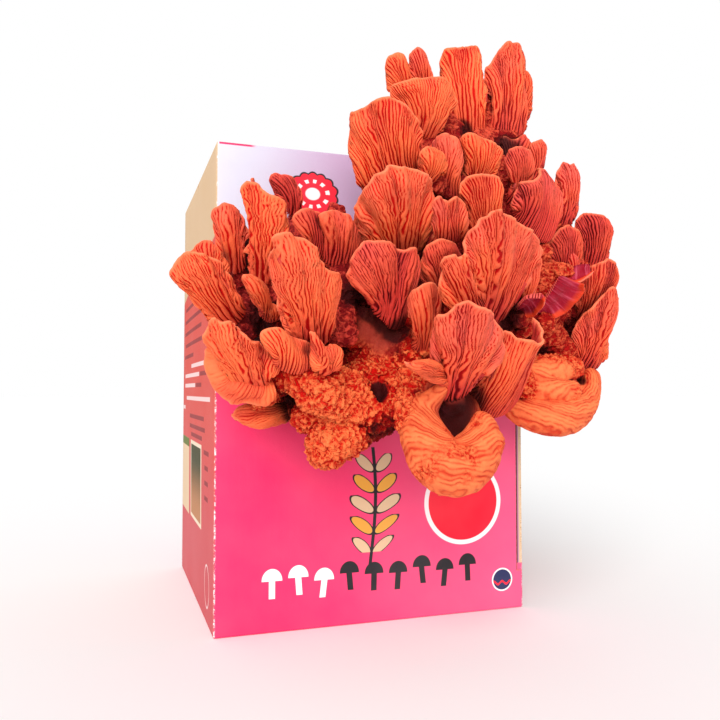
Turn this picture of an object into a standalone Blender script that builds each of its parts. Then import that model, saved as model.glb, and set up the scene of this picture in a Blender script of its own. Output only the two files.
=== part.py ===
"""Oyster mushroom grow kit: a carton with a cluster of pink oyster mushrooms growing out of its front.

Metres, +Z up. The origin is the centre of the carton's base and the front panel faces -Y.
A place on the cluster is (x, out, up) in millimetres: across the carton from its middle,
out from the front panel, and up from the base.
"""

import math
from typing import NamedTuple

import bmesh
import bpy
import numpy as np
from mathutils import Matrix, Vector
from mathutils.bvhtree import BVHTree

MM = 0.001

# Driving dimensions, in millimetres
CARTON_WIDTH, CARTON_DEPTH, CARTON_HEIGHT = 151, 140, 216
WALL = 3
FLAP_SEAM = 1.0
WINDOW = (-31, 24, 94, 150)  # left, right, bottom and top of the opening in the front panel
TEAR_SLIT = (72.0, 72.8, 18, 172)  # left, right, bottom and top of the opened tear line
RAW_EDGE_DEPTH = 0.8  # the printed liner is torn away this deep beyond the tear line
BASE_TAPE = 20  # half the width of the tape that bridges the base's seam in the middle
OVERSHOOT = 1  # how far a cutter stands out past the face it opens
BLOCK_CLEARANCE, BLOCK_SET_BACK = 4.5, 8  # round the block, and behind the front panel
BLOCK_BEVEL = 9
REST_GAP = 0.3
GAP, MASS_GAP = 0.5, 0.65  # between caps, and between a cap and the lumpier mass it grows from
FINE_VOXEL, COARSE_VOXEL = 4.5, 6.0
FINE_MASSES = ("crumb_base", "hanging_lobe")
KEPT_FACES = 0.36
LIMB_RADIUS = (6, 4.5)  # where a limb leaves its mass, and at the cap

# How finely a cap is drawn: points round its section, and sections from stem to rim
SECTION_POINTS = 10
ROWS = (0.0, 0.3, 0.6, 0.85, 1.0)
RIM_THICKNESS = 1.6
THINNING = 1.5  # above 1, most of the stem's thickness is gone soon after the root
CUTTER_STRETCH = 0.025  # a cutter reaches this share of the cap's length past each of its ends

COLOURS = {
    "carton": ((0.96, 0.06, 0.20, 1), 0.45),
    "grow_block": ((0.45, 0.36, 0.26, 1), 0.70),
    "gills": ((0.81, 0.08, 0.025, 1), 0.60),
    "crumb": ((0.85, 0.12, 0.03, 1), 0.75),
    "cap_tops": ((0.55, 0.035, 0.05, 1), 0.45),
}


class Cap(NamedTuple):
    """One mushroom: a stem that opens into a curled fan, with its gill side out."""

    name: str
    root: tuple
    tip: tuple
    width: float
    turn: float = 0  # degrees that the gill side turns towards +X
    wrap: float = 70  # degrees that the fan curls round, its edges going back
    bow: float = 3  # how far its middle bulges on the gill side
    neck: float = 0.35  # the stem's width as a share of the cap's
    shoulder: float = 0.75  # where along the cap it reaches full width
    round: float = 0.35  # how much shorter the fan is at its edges
    skew: float = 0  # how much further it reaches at its +X edge than at its middle
    ruffle: float = 1.0  # the rim's wave, in mm
    waves: float = 2.0
    stem: float = 7  # the stem's thickness


UPPER_CAPS = (
    Cap("top_tall_left", (37, 22, 222), (29, 32, 262), 21, turn=-10, neck=0.7, round=0.1),
    Cap("top_tall_right", (54, 22, 223), (52, 32, 267), 21, turn=10, neck=0.7, round=0.3),
    Cap("top_sliver", (67, 16, 235), (68, 20, 258), 8, turn=40),
    Cap("top_finger_left", (3, 22, 237), (-4, 32, 253), 11, neck=0.7, round=0.5),
    Cap("top_finger_right", (13, 20, 240), (7, 30, 259), 11, neck=0.7, round=0.5),
    Cap("top_back_fan", (15, 28, 212), (6, 46, 238), 28, turn=10),
    Cap("top_left_fan", (-14, 38, 189), (-18, 64, 219), 31, turn=-15, neck=0.5, skew=0.08),
    Cap("upper_pleat", (16, 42, 187), (8, 54, 211), 13, turn=-20, neck=0.7, waves=4),
    Cap("upper_bud", (7, 50, 190), (-2, 64, 202), 12, neck=0.6),
    Cap("upper_middle_fan", (26, 40, 192), (25, 58, 212), 21, turn=10, skew=-0.1),
)
MIDDLE_CAPS = (
    Cap("middle_small_fan", (23, 46, 167), (18, 70, 191), 22, turn=15, neck=0.6),
    Cap("middle_heart", (8, 52, 163), (3, 68, 182), 13, neck=0.6, round=0.2),
    Cap("middle_big_fan", (-8, 50, 163), (-25, 82, 187), 33, turn=-10, wrap=90, neck=0.5),
    Cap("centre_fan", (-8, 48, 128), (-29, 84, 160), 29, turn=-5, wrap=90),
    Cap("centre_stub", (-2, 54, 124), (-9, 78, 146), 13, neck=0.7),
    Cap("centre_red_fan", (5, 50, 146), (0, 70, 164), 18),
    Cap("ruffled_fan", (29, 54, 134), (14, 88, 172), 33, turn=5, neck=0.5, ruffle=2),
    Cap("ruffled_fan_low", (16, 68, 130), (-6, 96, 153), 20, turn=-15, skew=-0.1),
)
RIGHT_CAPS = (
    Cap("right_pleat", (50, 36, 189), (46, 50, 211), 11, turn=20, neck=0.6, waves=4),
    Cap("right_point", (63, 28, 201), (64, 38, 220), 8, turn=30),
    Cap("right_funnel", (61, 42, 167), (43, 64, 198), 22, turn=10, wrap=160),
    Cap("right_edge_tall", (82, 28, 180), (81, 38, 212), 14, turn=30, neck=0.5),
    Cap("far_right_inner", (85, 27, 162), (71, 42, 180), 18, neck=0.5),
    Cap("far_right_fan", (101, 24, 163), (90, 44, 187), 23, turn=20, skew=0.1),
    Cap("far_right_curl", (84, 32, 143), (89, 58, 163), 26, turn=40, wrap=120),
    Cap("far_right_leaf", (86, 28, 116), (88, 56, 151), 19, turn=20, neck=0.5),
    Cap("magenta_cap", (58, 50, 136), (64, 66, 150), 17, turn=180),
    Cap("magenta_small", (42, 56, 136), (43, 74, 143), 10, turn=180),
    Cap("right_inner_leaf", (48, 46, 133), (46, 66, 162), 15, turn=20, neck=0.5),
    Cap("low_right_fan", (5, 66, 103), (-3, 104, 136), 30, turn=-10, wrap=100, neck=0.5),
    Cap("low_right_funnel", (23, 52, 98), (29, 88, 128), 27, turn=10, wrap=180, neck=0.5),
    Cap("low_right_flap", (-6, 70, 106), (-22, 84, 115), 8),
)
LEFT_CAPS = (
    Cap("left_back_funnel", (-70, 30, 140), (-85, 50, 162), 20, turn=-30),
    Cap("left_funnel", (-70, 42, 130), (-94, 70, 153), 28, turn=-20, wrap=110, neck=0.5),
    Cap("left_upper_leaf", (-70, 32, 150), (-78, 50, 177), 14, turn=-15, neck=0.5),
    Cap("left_tall_leaf", (-57, 36, 143), (-66, 62, 182), 19, turn=-10, neck=0.6, skew=-0.15),
    Cap("left_dark_leaf", (-41, 12, 181), (-54, 24, 198), 13, neck=0.6),
    Cap("centre_left_fan", (-50, 58, 121), (-64, 94, 158), 31, turn=-5, wrap=80, skew=-0.1),
    Cap("purple_fan", (-40, 44, 158), (-50, 62, 175), 15, neck=0.5),
    Cap("purple_ruffle", (-34, 46, 155), (-38, 60, 175), 15, neck=0.6, waves=4),
    Cap("left_curl", (-58, 44, 132), (-73, 68, 146), 11),
    Cap("low_left_fan", (-67, 52, 104), (-81, 84, 130), 26, turn=-15, wrap=90, skew=-0.1),
    Cap("low_left_lip", (-60, 46, 113), (-84, 62, 104), 24, turn=-20, neck=0.5),
    Cap("low_left_bud", (-49, 30, 99), (-74, 42, 96), 11, neck=0.5),
    Cap("left_edge_cap", (-52, 58, 109), (-64, 80, 127), 20, neck=0.6),
    Cap("left_fold", (-41, 64, 111), (-49, 81, 126), 10, neck=0.6),
)

# Masses that the caps grow from. Each is a few strings of (x, out, up, radius) beads.
MASSES = {
    "crumb_base": (
        ((-4, -8, 122, 21), (-4, 6, 122, 21), (-6, 34, 120, 22)),
        ((-6, 34, 114, 20), (-26, 46, 98, 13), (-37, 54, 90, 10), (-42, 56, 83, 6)),
        ((-34, 54, 103, 11), (-52, 50, 113, 8), (-62, 44, 109, 7)),
        ((-34, 54, 103, 11), (-46, 50, 97, 7)),
        ((-24, 56, 94, 11), (-6, 50, 105, 11)),
        ((-12, 36, 128, 12), (-28, 44, 132, 7)),
    ),
    "upper_stalk": (
        ((0, 34, 145, 16), (8, 34, 165, 15), (20, 30, 192, 14), (40, 20, 218, 10)),
        ((14, 28, 203, 12), (6, 22, 234, 5)),
        ((24, 30, 182, 11), (58, 26, 198, 7)),
        ((40, 20, 218, 9), (60, 18, 230, 6)),
    ),
    "left_stalk": (
        ((-26, 30, 132, 12), (-52, 30, 132, 11), (-68, 32, 140, 6)),
        ((-50, 30, 136, 10), (-58, 34, 145, 6)),
        ((-44, 22, 140, 9), (-42, 14, 176, 5)),
    ),
    "right_stalk": (
        ((24, 36, 134, 16), (52, 36, 142, 13), (80, 26, 146, 10), (94, 24, 160, 6)),
        ((58, 34, 140, 11), (76, 30, 124, 9), (86, 28, 114, 7)),
        ((70, 28, 150, 9), (78, 26, 176, 6)),
        ((50, 34, 150, 10), (60, 38, 164, 6)),
    ),
    "right_crumb_lobe": (
        ((24, 42, 110, 9), (49, 44, 109, 8), (63, 42, 113, 9), (78, 40, 113, 7)),
        ((50, 45, 107, 7), (64, 48, 103, 7)),
    ),
    "hanging_lobe": (
        ((-1, 54, 101, 8), (-5, 64, 91, 8.5), (-3, 70, 81, 10), (4, 72, 77, 11)),
        ((4, 72, 77, 11), (12, 73, 80, 10), (14, 75, 87, 7.5), (14, 77, 93, 4.5)),
    ),
    "right_shell": (
        ((46, 40, 102, 6), (54, 46, 96, 7.5), (64, 48, 94, 8.5), (76, 46, 100, 8)),
        ((76, 46, 101, 7.5), (86, 40, 109, 6), (90, 40, 114, 4)),
    ),
}


def collection(name, hidden=False):
    found = bpy.data.collections.new(name)
    bpy.context.scene.collection.children.link(found)
    found.hide_render = hidden
    return found


def material(name):
    (colour, roughness) = COLOURS[name]
    found = bpy.data.materials.new(name)
    found.use_nodes = True
    shader = found.node_tree.nodes["Principled BSDF"]
    shader.inputs["Base Color"].default_value = colour
    shader.inputs["Roughness"].default_value = roughness
    shader.inputs["Metallic"].default_value = 0
    return found


def place(x, out, up):
    """A place on the cluster, in metres."""
    return np.array((x, -CARTON_DEPTH / 2 - out, up)) * MM


def unit(vector):
    return vector / np.linalg.norm(vector)


def smooth(share):
    share = np.clip(share, 0, 1)
    return share * share * (3 - 2 * share)


def cap_frame(cap):
    """The cap's root, its length, and the ways along it, out of its gill side and across it."""
    root, tip = place(*cap.root), place(*cap.tip)
    length = np.linalg.norm(tip - root)
    along = (tip - root) / length
    turn = math.radians(cap.turn)
    facing = np.array((math.sin(turn), -math.cos(turn), 0.0))
    facing = unit(facing - facing @ along * along)
    return root, length, along, facing, np.cross(along, facing)


def cap_sheet(cap, u, v, widen=0.0):
    """The point of the cap's middle surface at u across (-1 to 1) and v along (0 to 1), and its normal."""
    root, length, along, facing, across = cap_frame(cap)
    full = cap.width / 2 * MM
    half = full * (cap.neck + (1 - cap.neck) * smooth(v / cap.shoulder)) + widen
    wrap = math.radians(cap.wrap)
    radius = half / math.sin(min(wrap, math.pi) / 2)
    angle = u * wrap / 2
    reach = length * v * (1 - cap.round * u**2 * v + cap.skew * u * v)
    wave = cap.ruffle * MM * v**2 * np.sin(cap.waves * math.pi * u)
    lift = cap.bow * MM * 4 * v * (1 - v) + wave - radius * (1 - np.cos(angle))
    side = radius * np.sin(angle)
    point = root + reach[..., None] * along + lift[..., None] * facing + side[..., None] * across
    normal = np.cos(angle)[..., None] * facing + np.sin(angle)[..., None] * across
    return point, normal


def cap_mesh(cap, grow=0.0):
    """A loft from the round stem to the thin fan. A grown one is a cutter, larger all round."""
    rings = []
    angles = np.arange(SECTION_POINTS) * 2 * math.pi / SECTION_POINTS
    end = CUTTER_STRETCH if grow else 0
    for row in ROWS:
        along = {0.0: -end, 1.0: 1 + end}.get(row, row)
        point, normal = cap_sheet(cap, np.cos(angles), np.full(SECTION_POINTS, along), grow * MM)
        thickness = RIM_THICKNESS + (cap.stem - RIM_THICKNESS) * (1 - row) ** THINNING + 2 * grow
        rings.append(point + normal * (np.sin(angles) * thickness / 2 * MM)[:, None])
    mesh = bmesh.new()
    loops = [[mesh.verts.new(p) for p in ring] for ring in rings]
    for low, high in zip(loops, loops[1:]):
        for i in range(SECTION_POINTS):
            j = (i + 1) % SECTION_POINTS
            mesh.faces.new((low[i], low[j], high[j], high[i]))
    half = SECTION_POINTS // 2
    for loop in (loops[0], loops[-1]):
        mesh.faces.new((loop[0], loop[1], loop[-1]))
        for i in range(1, half - 1):
            mesh.faces.new((loop[i], loop[i + 1], loop[-i - 1], loop[-i]))
        mesh.faces.new((loop[half - 1], loop[half], loop[half + 1]))
    bmesh.ops.recalc_face_normals(mesh, faces=mesh.faces)
    return mesh


def object_of(mesh, name, home):
    data = bpy.data.meshes.new(name)
    mesh.to_mesh(data)
    mesh.free()
    made = bpy.data.objects.new(name, data)
    home.objects.link(made)
    return made


def settle(obj):
    """Applies the object's modifiers to its mesh."""
    graph = bpy.context.evaluated_depsgraph_get()
    data = bpy.data.meshes.new_from_object(obj.evaluated_get(graph))
    obj.modifiers.clear()
    obj.data = data


def bead_mesh(strings):
    """Overlapping balls along each string, spaced closely enough to read as one limb."""
    mesh = bmesh.new()
    for string in strings:
        for start, end in zip(string, string[1:]):
            steps = max(1, round(math.dist(start[:3], end[:3]) / (0.5 * min(start[3], end[3]))))
            for i in range(steps + 1):
                bead = np.array(start) + (np.array(end) - start) * i / steps
                where = Matrix.Translation(place(*bead[:3]))
                bmesh.ops.create_icosphere(mesh, subdivisions=2, radius=bead[3] * MM, matrix=where)
    return mesh


def limbs(caps):
    """For each mass, the short limbs that carry the caps nearest to it out to their roots."""
    found = {name: [] for name in MASSES}
    for cap in caps:
        beads = [(name, bead) for name, strings in MASSES.items() for s in strings for bead in s]
        name, bead = min(beads, key=lambda item: math.dist(item[1][:3], cap.root) - item[1][3])
        found[name].append(((*bead[:3], min(bead[3], LIMB_RADIUS[0])), (*cap.root, LIMB_RADIUS[1])))
    return found


def mass(name, strings, home):
    made = object_of(bead_mesh(strings), name, home)
    remesh = made.modifiers.new("fuse", "REMESH")
    remesh.mode = "VOXEL"
    remesh.voxel_size = (FINE_VOXEL if name in FINE_MASSES else COARSE_VOXEL) * MM
    fewer = made.modifiers.new("fewer_faces", "DECIMATE")
    fewer.ratio = KEPT_FACES
    settle(made)
    return made


def grown_copy(obj, home):
    """A cutter: the same form, larger by the gap all round."""
    made = bpy.data.objects.new(obj.name + "_cutter", obj.data.copy())
    home.objects.link(made)
    mesh = bmesh.new()
    mesh.from_mesh(made.data)
    mesh.normal_update()
    for vertex in mesh.verts:
        vertex.co += vertex.normal * MASS_GAP * MM
    mesh.to_mesh(made.data)
    mesh.free()
    hide(made)
    return made


def hide(obj):
    obj.hide_render = True
    obj.display_type = "WIRE"


def surface(obj):
    mesh = bmesh.new()
    mesh.from_mesh(obj.data)
    tree = BVHTree.FromBMesh(mesh)
    mesh.free()
    return tree


def keep_largest(obj):
    """Drops the chips that a cut left loose."""
    mesh = bmesh.new()
    mesh.from_mesh(obj.data)
    left, islands = set(mesh.verts), []
    while left:
        found, front = set(), [left.pop()]
        while front:
            vertex = front.pop()
            found.add(vertex)
            for edge in vertex.link_edges:
                other = edge.other_vert(vertex)
                if other in left:
                    left.discard(other)
                    front.append(other)
        islands.append(found)
    islands.sort(key=lambda found: -sum(face.calc_area() for v in found for face in v.link_faces))
    for island in islands[1:]:
        bmesh.ops.delete(mesh, geom=list(island), context="VERTS")
    mesh.to_mesh(obj.data)
    mesh.free()


def cut(obj, neighbours):
    """Cuts each neighbour that it touches out of an object: first a grown copy, for the gap, then itself."""
    tree = surface(obj)
    touching = [pair for pair in neighbours if tree.overlap(surface(pair[0]))]
    for cutter in (cutter for pair in touching for cutter in pair):
        boolean = obj.modifiers.new(cutter.name, "BOOLEAN")
        boolean.object = cutter
        boolean.operation = "DIFFERENCE"
        boolean.solver = "MANIFOLD"  # the exact one loses whole caps on these curled forms
    if touching:
        settle(obj)
        keep_largest(obj)


def box_between(name, low, high, home):
    """A box between two corners, in millimetres."""
    mesh = bmesh.new()
    bmesh.ops.create_cube(mesh, size=1)
    low, high = Vector(low) * MM, Vector(high) * MM
    size = Matrix.Diagonal((*(high - low), 1))
    mesh.transform(Matrix.Translation((low + high) / 2) @ size)
    return object_of(mesh, name, home)


def build_carton(home, cutters):
    """One folded blank: four walls, double flaps at top and bottom, a window and a tear line."""
    half_width, half_depth = CARTON_WIDTH / 2, CARTON_DEPTH / 2
    carton = box_between(
        "carton", (-half_width, -half_depth, 0), (half_width, half_depth, CARTON_HEIGHT), home
    )
    inside = (half_width - WALL, half_depth - WALL)
    seam = FLAP_SEAM / 2
    front = -half_depth
    outside, behind, side = front - OVERSHOOT, front + WALL + OVERSHOOT, half_width + OVERSHOOT
    cuts = {
        "hollow": (
            (-inside[0], -inside[1], 2 * WALL),
            (inside[0], inside[1], CARTON_HEIGHT - 2 * WALL),
        ),
        "window": ((WINDOW[0], outside, WINDOW[2]), (WINDOW[1], behind, WINDOW[3])),
        "tear_slit": (
            (TEAR_SLIT[0], outside, TEAR_SLIT[2]),
            (TEAR_SLIT[1], behind, TEAR_SLIT[3]),
        ),
        "raw_edge": (
            (TEAR_SLIT[0], outside, TEAR_SLIT[2]),
            (side, front + RAW_EDGE_DEPTH, TEAR_SLIT[3]),
        ),
        "lid_seam": (
            (-side, -seam, CARTON_HEIGHT - WALL),
            (side, seam, CARTON_HEIGHT + OVERSHOOT),
        ),
        "base_seam_left": ((-side, -seam, -OVERSHOOT), (-BASE_TAPE, seam, WALL)),
        "base_seam_right": ((BASE_TAPE, -seam, -OVERSHOOT), (side, seam, WALL)),
    }
    for name, (low, high) in cuts.items():
        cutter = box_between(name, low, high, cutters)
        hide(cutter)
        boolean = carton.modifiers.new(name, "BOOLEAN")
        boolean.object = cutter
        boolean.operation = "DIFFERENCE"
    carton.data.materials.append(material("carton"))
    return carton


def build_block(home):
    """The bagged block of straw and sawdust that the mushrooms feed on, with its softly rounded edges."""
    reach = (CARTON_WIDTH / 2 - WALL - BLOCK_CLEARANCE, CARTON_DEPTH / 2 - WALL - BLOCK_CLEARANCE)
    front, rest = -reach[1] + BLOCK_SET_BACK, 2 * WALL + REST_GAP
    top = CARTON_HEIGHT - 2 * WALL - BLOCK_CLEARANCE
    block = box_between("grow_block", (-reach[0], front, rest), (*reach, top), home)
    bevel = block.modifiers.new("soft_edges", "BEVEL")
    bevel.width = BLOCK_BEVEL * MM
    bevel.segments = 2
    block.data.materials.append(material("grow_block"))
    settle(block)
    return block


def main():
    for obj in list(bpy.data.objects):
        bpy.data.objects.remove(obj)
    kit = collection("oyster_mushroom_grow_kit")
    cutters = collection("cutters", hidden=True)
    build_carton(kit, cutters)
    block = build_block(kit)
    gill_side, cap_top, crumb = material("gills"), material("cap_tops"), material("crumb")
    earlier = [(grown_copy(block, cutters), block)]
    caps = UPPER_CAPS + MIDDLE_CAPS + RIGHT_CAPS + LEFT_CAPS
    carried = limbs(caps)
    for name, strings in MASSES.items():
        made = mass(name, (*strings, *carried[name]), kit)
        cut(made, earlier)
        made.data.materials.append(crumb)
        earlier.append((grown_copy(made, cutters), made))
    for cap in sorted(caps, key=lambda cap: -cap.tip[1]):
        made = object_of(cap_mesh(cap), cap.name, kit)
        cut(made, earlier)
        made.data.materials.append(cap_top if cap.turn == 180 else gill_side)
        made.data.shade_smooth()
        cutter = object_of(cap_mesh(cap, GAP), cap.name + "_cutter", cutters)
        hide(cutter)
        earlier.append((cutter, made))


main()
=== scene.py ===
"""Oyster mushroom grow kit: the finished look of the printed carton and of the cluster that grows out of it.

Metres, +Z up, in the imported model's frame: the carton stands on the origin and its front panel faces -Y.
A place on the cluster is (x, out, up) in millimetres: across the carton from its middle, out from the
front panel, and up from the base. Each mushroom is a sheet of gill lines between a foot and a rim, which
are drawn as the camera sees them, with its gills raised on it as relief. Each mass that carries the
mushrooms is a few strings of beads fused into one skin.
"""

import functools
import math
from typing import NamedTuple

import bmesh
import bpy
import numpy as np
from bpy.props import FloatProperty, FloatVectorProperty, IntProperty, PointerProperty
from mathutils import Euler, Matrix, Vector
from mathutils.bvhtree import BVHTree


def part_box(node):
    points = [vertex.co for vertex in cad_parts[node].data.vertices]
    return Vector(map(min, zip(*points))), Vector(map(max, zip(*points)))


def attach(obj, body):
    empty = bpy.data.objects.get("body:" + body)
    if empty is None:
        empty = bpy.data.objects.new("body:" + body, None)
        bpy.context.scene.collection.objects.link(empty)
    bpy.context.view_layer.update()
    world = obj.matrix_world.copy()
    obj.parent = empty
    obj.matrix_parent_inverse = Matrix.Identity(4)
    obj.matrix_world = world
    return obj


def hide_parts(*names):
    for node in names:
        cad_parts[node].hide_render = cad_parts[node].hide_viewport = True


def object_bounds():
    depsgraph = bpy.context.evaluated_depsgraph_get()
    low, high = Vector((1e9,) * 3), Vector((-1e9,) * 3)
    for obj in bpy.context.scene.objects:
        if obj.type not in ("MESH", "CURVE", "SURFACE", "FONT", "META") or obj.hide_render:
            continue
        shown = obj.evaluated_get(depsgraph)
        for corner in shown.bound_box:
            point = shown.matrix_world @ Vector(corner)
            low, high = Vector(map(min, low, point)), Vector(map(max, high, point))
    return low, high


bl_info = {
    "name": "Oyster mushroom grow kit",
    "version": (1, 0, 0),
    "blender": (4, 5, 0),
    "location": "View3D > Sidebar > Grow Kit",
    "description": "Builds a printed carton with a cluster of pink oyster mushrooms growing out of it",
    "category": "Object",
}

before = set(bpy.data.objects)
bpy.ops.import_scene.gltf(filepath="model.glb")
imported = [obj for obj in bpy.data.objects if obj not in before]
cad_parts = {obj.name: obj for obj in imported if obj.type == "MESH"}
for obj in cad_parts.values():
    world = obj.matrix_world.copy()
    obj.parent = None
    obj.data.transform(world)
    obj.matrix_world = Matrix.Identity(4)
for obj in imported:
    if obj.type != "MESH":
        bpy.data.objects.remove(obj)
CAD_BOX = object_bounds()
CARTON_LOW, CARTON_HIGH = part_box("carton")
CARTON_MIDDLE, CARTON_HALF = (CARTON_LOW + CARTON_HIGH) / 2, (CARTON_HIGH - CARTON_LOW) / 2

MM = 0.001

# The camera that the photograph was taken with, as matched to the carton's corners
CAMERA_PLACE = (-0.1200, -0.3980, 0.1061)
CAMERA_TURN = (math.radians(92.37), 0.0, math.radians(-18.67))
LENS, SENSOR = 37.46, 36.0  # mm
PHOTO = 720  # pixels each way

# How open a spot is to the light is read from a lattice of spots over the cluster
LATTICE_STEP = 5 * MM
LIGHT_WAY = (-0.35, -0.85, 0.45)
LIGHT_RAYS = 18
LIGHT_REACH = 32 * MM
KEY_WAY = (-0.42, -0.72, 0.56)  # from the cluster towards the key light
FILL_WAY = (-0.30, -0.94, 0.12)  # and towards the fill light
CLEAR_OF_SKIN = 3 * MM  # how far off a skin the light is read

# The bare edge of the board, in mm: how far in from the right fold and behind the front it is, from
# where to where up it shows, and how thick and deep a flute is
RAW_EDGE_INSET, RAW_EDGE_SPAN, FLUTE_SIZE = (0.35, 1.3), (19, 171), (0.9, 1.2)
BLOCK_VOXEL = 2.5  # mm
CREASE_DEPTH = 0.012  # of the bag's creases, as a share of the way to the block's middle


def display(red, green, blue):
    """A display colour, 0 to 255 a channel, as the linear values that shaders work in."""
    shares = (channel / 255 for channel in (red, green, blue))
    linear = (s / 12.92 if s <= 0.04045 else ((s + 0.055) / 1.055) ** 2.4 for s in shares)
    return (*linear, 1.0)


def colour(name, description, red, green, blue):
    return FloatVectorProperty(
        name=name,
        description=description,
        default=display(red, green, blue),
        size=4,
        min=0,
        max=1,
        subtype="COLOR",
    )


def length(name, description, millimetres):
    return FloatProperty(
        name=name, description=description, default=millimetres * MM, min=0, unit="LENGTH"
    )


# ---------------------------------------------------------------- the cluster's layout


class Cap(NamedTuple):
    """One mushroom: a stem that opens into a curled fan, with its gill side out."""

    name: str
    root: tuple
    tip: tuple
    width: float
    turn: float = 0  # degrees that the gill side turns towards +X
    wrap: float = 70  # degrees that the fan curls round, its edges going back
    bow: float = 3  # how far its middle bulges on the gill side
    neck: float = 0.35  # the stem's width as a share of the cap's
    ruffle: float = 1.0  # how deep its folds and waves are, as a share of the usual
    # A cap's tone is partly its own colour and partly painted shade: caps that lie in shadow are given a deeper
    # tone
    tone: float = 0.3  # from 0, bright orange, to 1, deep red
    blush: float = 0.15  # how pink its rim half is
    # The fan's outline in pixels of the photograph, from its left foot over its top to its right
    # foot. A third number moves that point out of the gill side, in mm.
    rim: tuple = ()
    gills: float = 1.0  # how strong its gills are
    # The line that its gills start from, in the same way. Where there is none, they start round the stem.
    foot: tuple = ()


UPPER_CAPS = (
    Cap("top_tall_left", (37, 22, 222), (29, 32, 262), 21, turn=-10, neck=0.7, ruffle=1.3, tone=0.1,
        rim=((440, 92), (438, 73), (440, 58), (444, 50), (452, 46), (466, 44), (477, 42), (481, 45), (481, 56),
            (483, 73), (486, 94)),
        foot=((451, 126), (458, 133), (470, 135), (486, 132))),
    Cap("top_tall_right", (54, 22, 223), (52, 32, 267), 21, turn=10, neck=0.7, ruffle=1.5, tone=0.45,
        blush=0.3,
        rim=((485, 92), (484, 72), (491, 61), (500, 48), (508, 42), (518, 43), (522, 52), (523, 67), (527, 84),
            (528, 99), (522, 116)),
        foot=((488, 132), (497, 138), (510, 139), (521, 132))),
    Cap("top_sliver", (67, 16, 235), (68, 20, 258), 8, turn=40, tone=0.5,
        rim=((517, 76), (520, 68), (525, 71), (527, 80), (528, 88), (528, 99), (522, 112)),
        foot=((518, 116), (521, 124), (524, 120))),
    Cap("top_finger_left", (3, 22, 237), (-4, 32, 253), 11, neck=0.7, tone=0.15,
        rim=((389, 91), (384, 74), (386, 59), (392, 54), (398, 53), (404, 60), (409, 76)),
        foot=((392, 96), (402, 98), (410, 90))),
    Cap("top_finger_right", (13, 20, 240), (7, 30, 259), 11, neck=0.7, blush=0.5,
        rim=((409, 79), (407, 66), (408, 54), (418, 46), (425, 51), (429, 65), (430, 77)),
        foot=((412, 90), (420, 92), (430, 88))),
    Cap("top_back_fan", (15, 28, 212), (6, 46, 238), 28, turn=10, ruffle=1.4, tone=0.12,
        rim=((388, 100), (390, 87), (400, 82), (414, 78), (430, 76), (444, 77), (453, 87), (452, 104),
            (445, 119), (436, 130)),
        foot=((410, 132), (424, 137), (434, 134))),
    Cap("top_left_fan", (-14, 38, 189), (-18, 64, 219), 31, turn=-15, neck=0.5, ruffle=1.3, tone=0.04,
        rim=((354, 180), (348, 153), (344, 124), (345, 115), (352, 112), (363, 107), (374, 100), (386, 96),
            (393, 98), (405, 103), (414, 113), (421, 125), (424, 138), (425, 146)),
        foot=((360, 186), (378, 188), (400, 178), (418, 162))),
    Cap("upper_pleat", (16, 42, 187), (8, 54, 211), 13, turn=-20, neck=0.7, ruffle=1.6, tone=0.55, blush=0.4,
        rim=((428, 160), (427, 143), (434, 136), (442, 133), (450, 134), (457, 143), (460, 165)),
        foot=((434, 180), (444, 200), (452, 202), (459, 198))),
    Cap("upper_bud", (7, 50, 190), (-2, 64, 202), 12, neck=0.6, tone=0.15,
        rim=((415, 169), (419, 153), (427, 146), (438, 148), (445, 155), (444, 164), (436, 172)),
        foot=((419, 173), (425, 180), (433, 177))),
    Cap("upper_middle_fan", (26, 40, 192), (25, 58, 212), 21, turn=10, tone=0.08,
        rim=((460, 172), (459, 151), (460, 139), (466, 133), (478, 135), (490, 140), (498, 150), (498, 158),
            (489, 171)),
        foot=((459, 187), (466, 182), (474, 178), (485, 176))),
)
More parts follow.
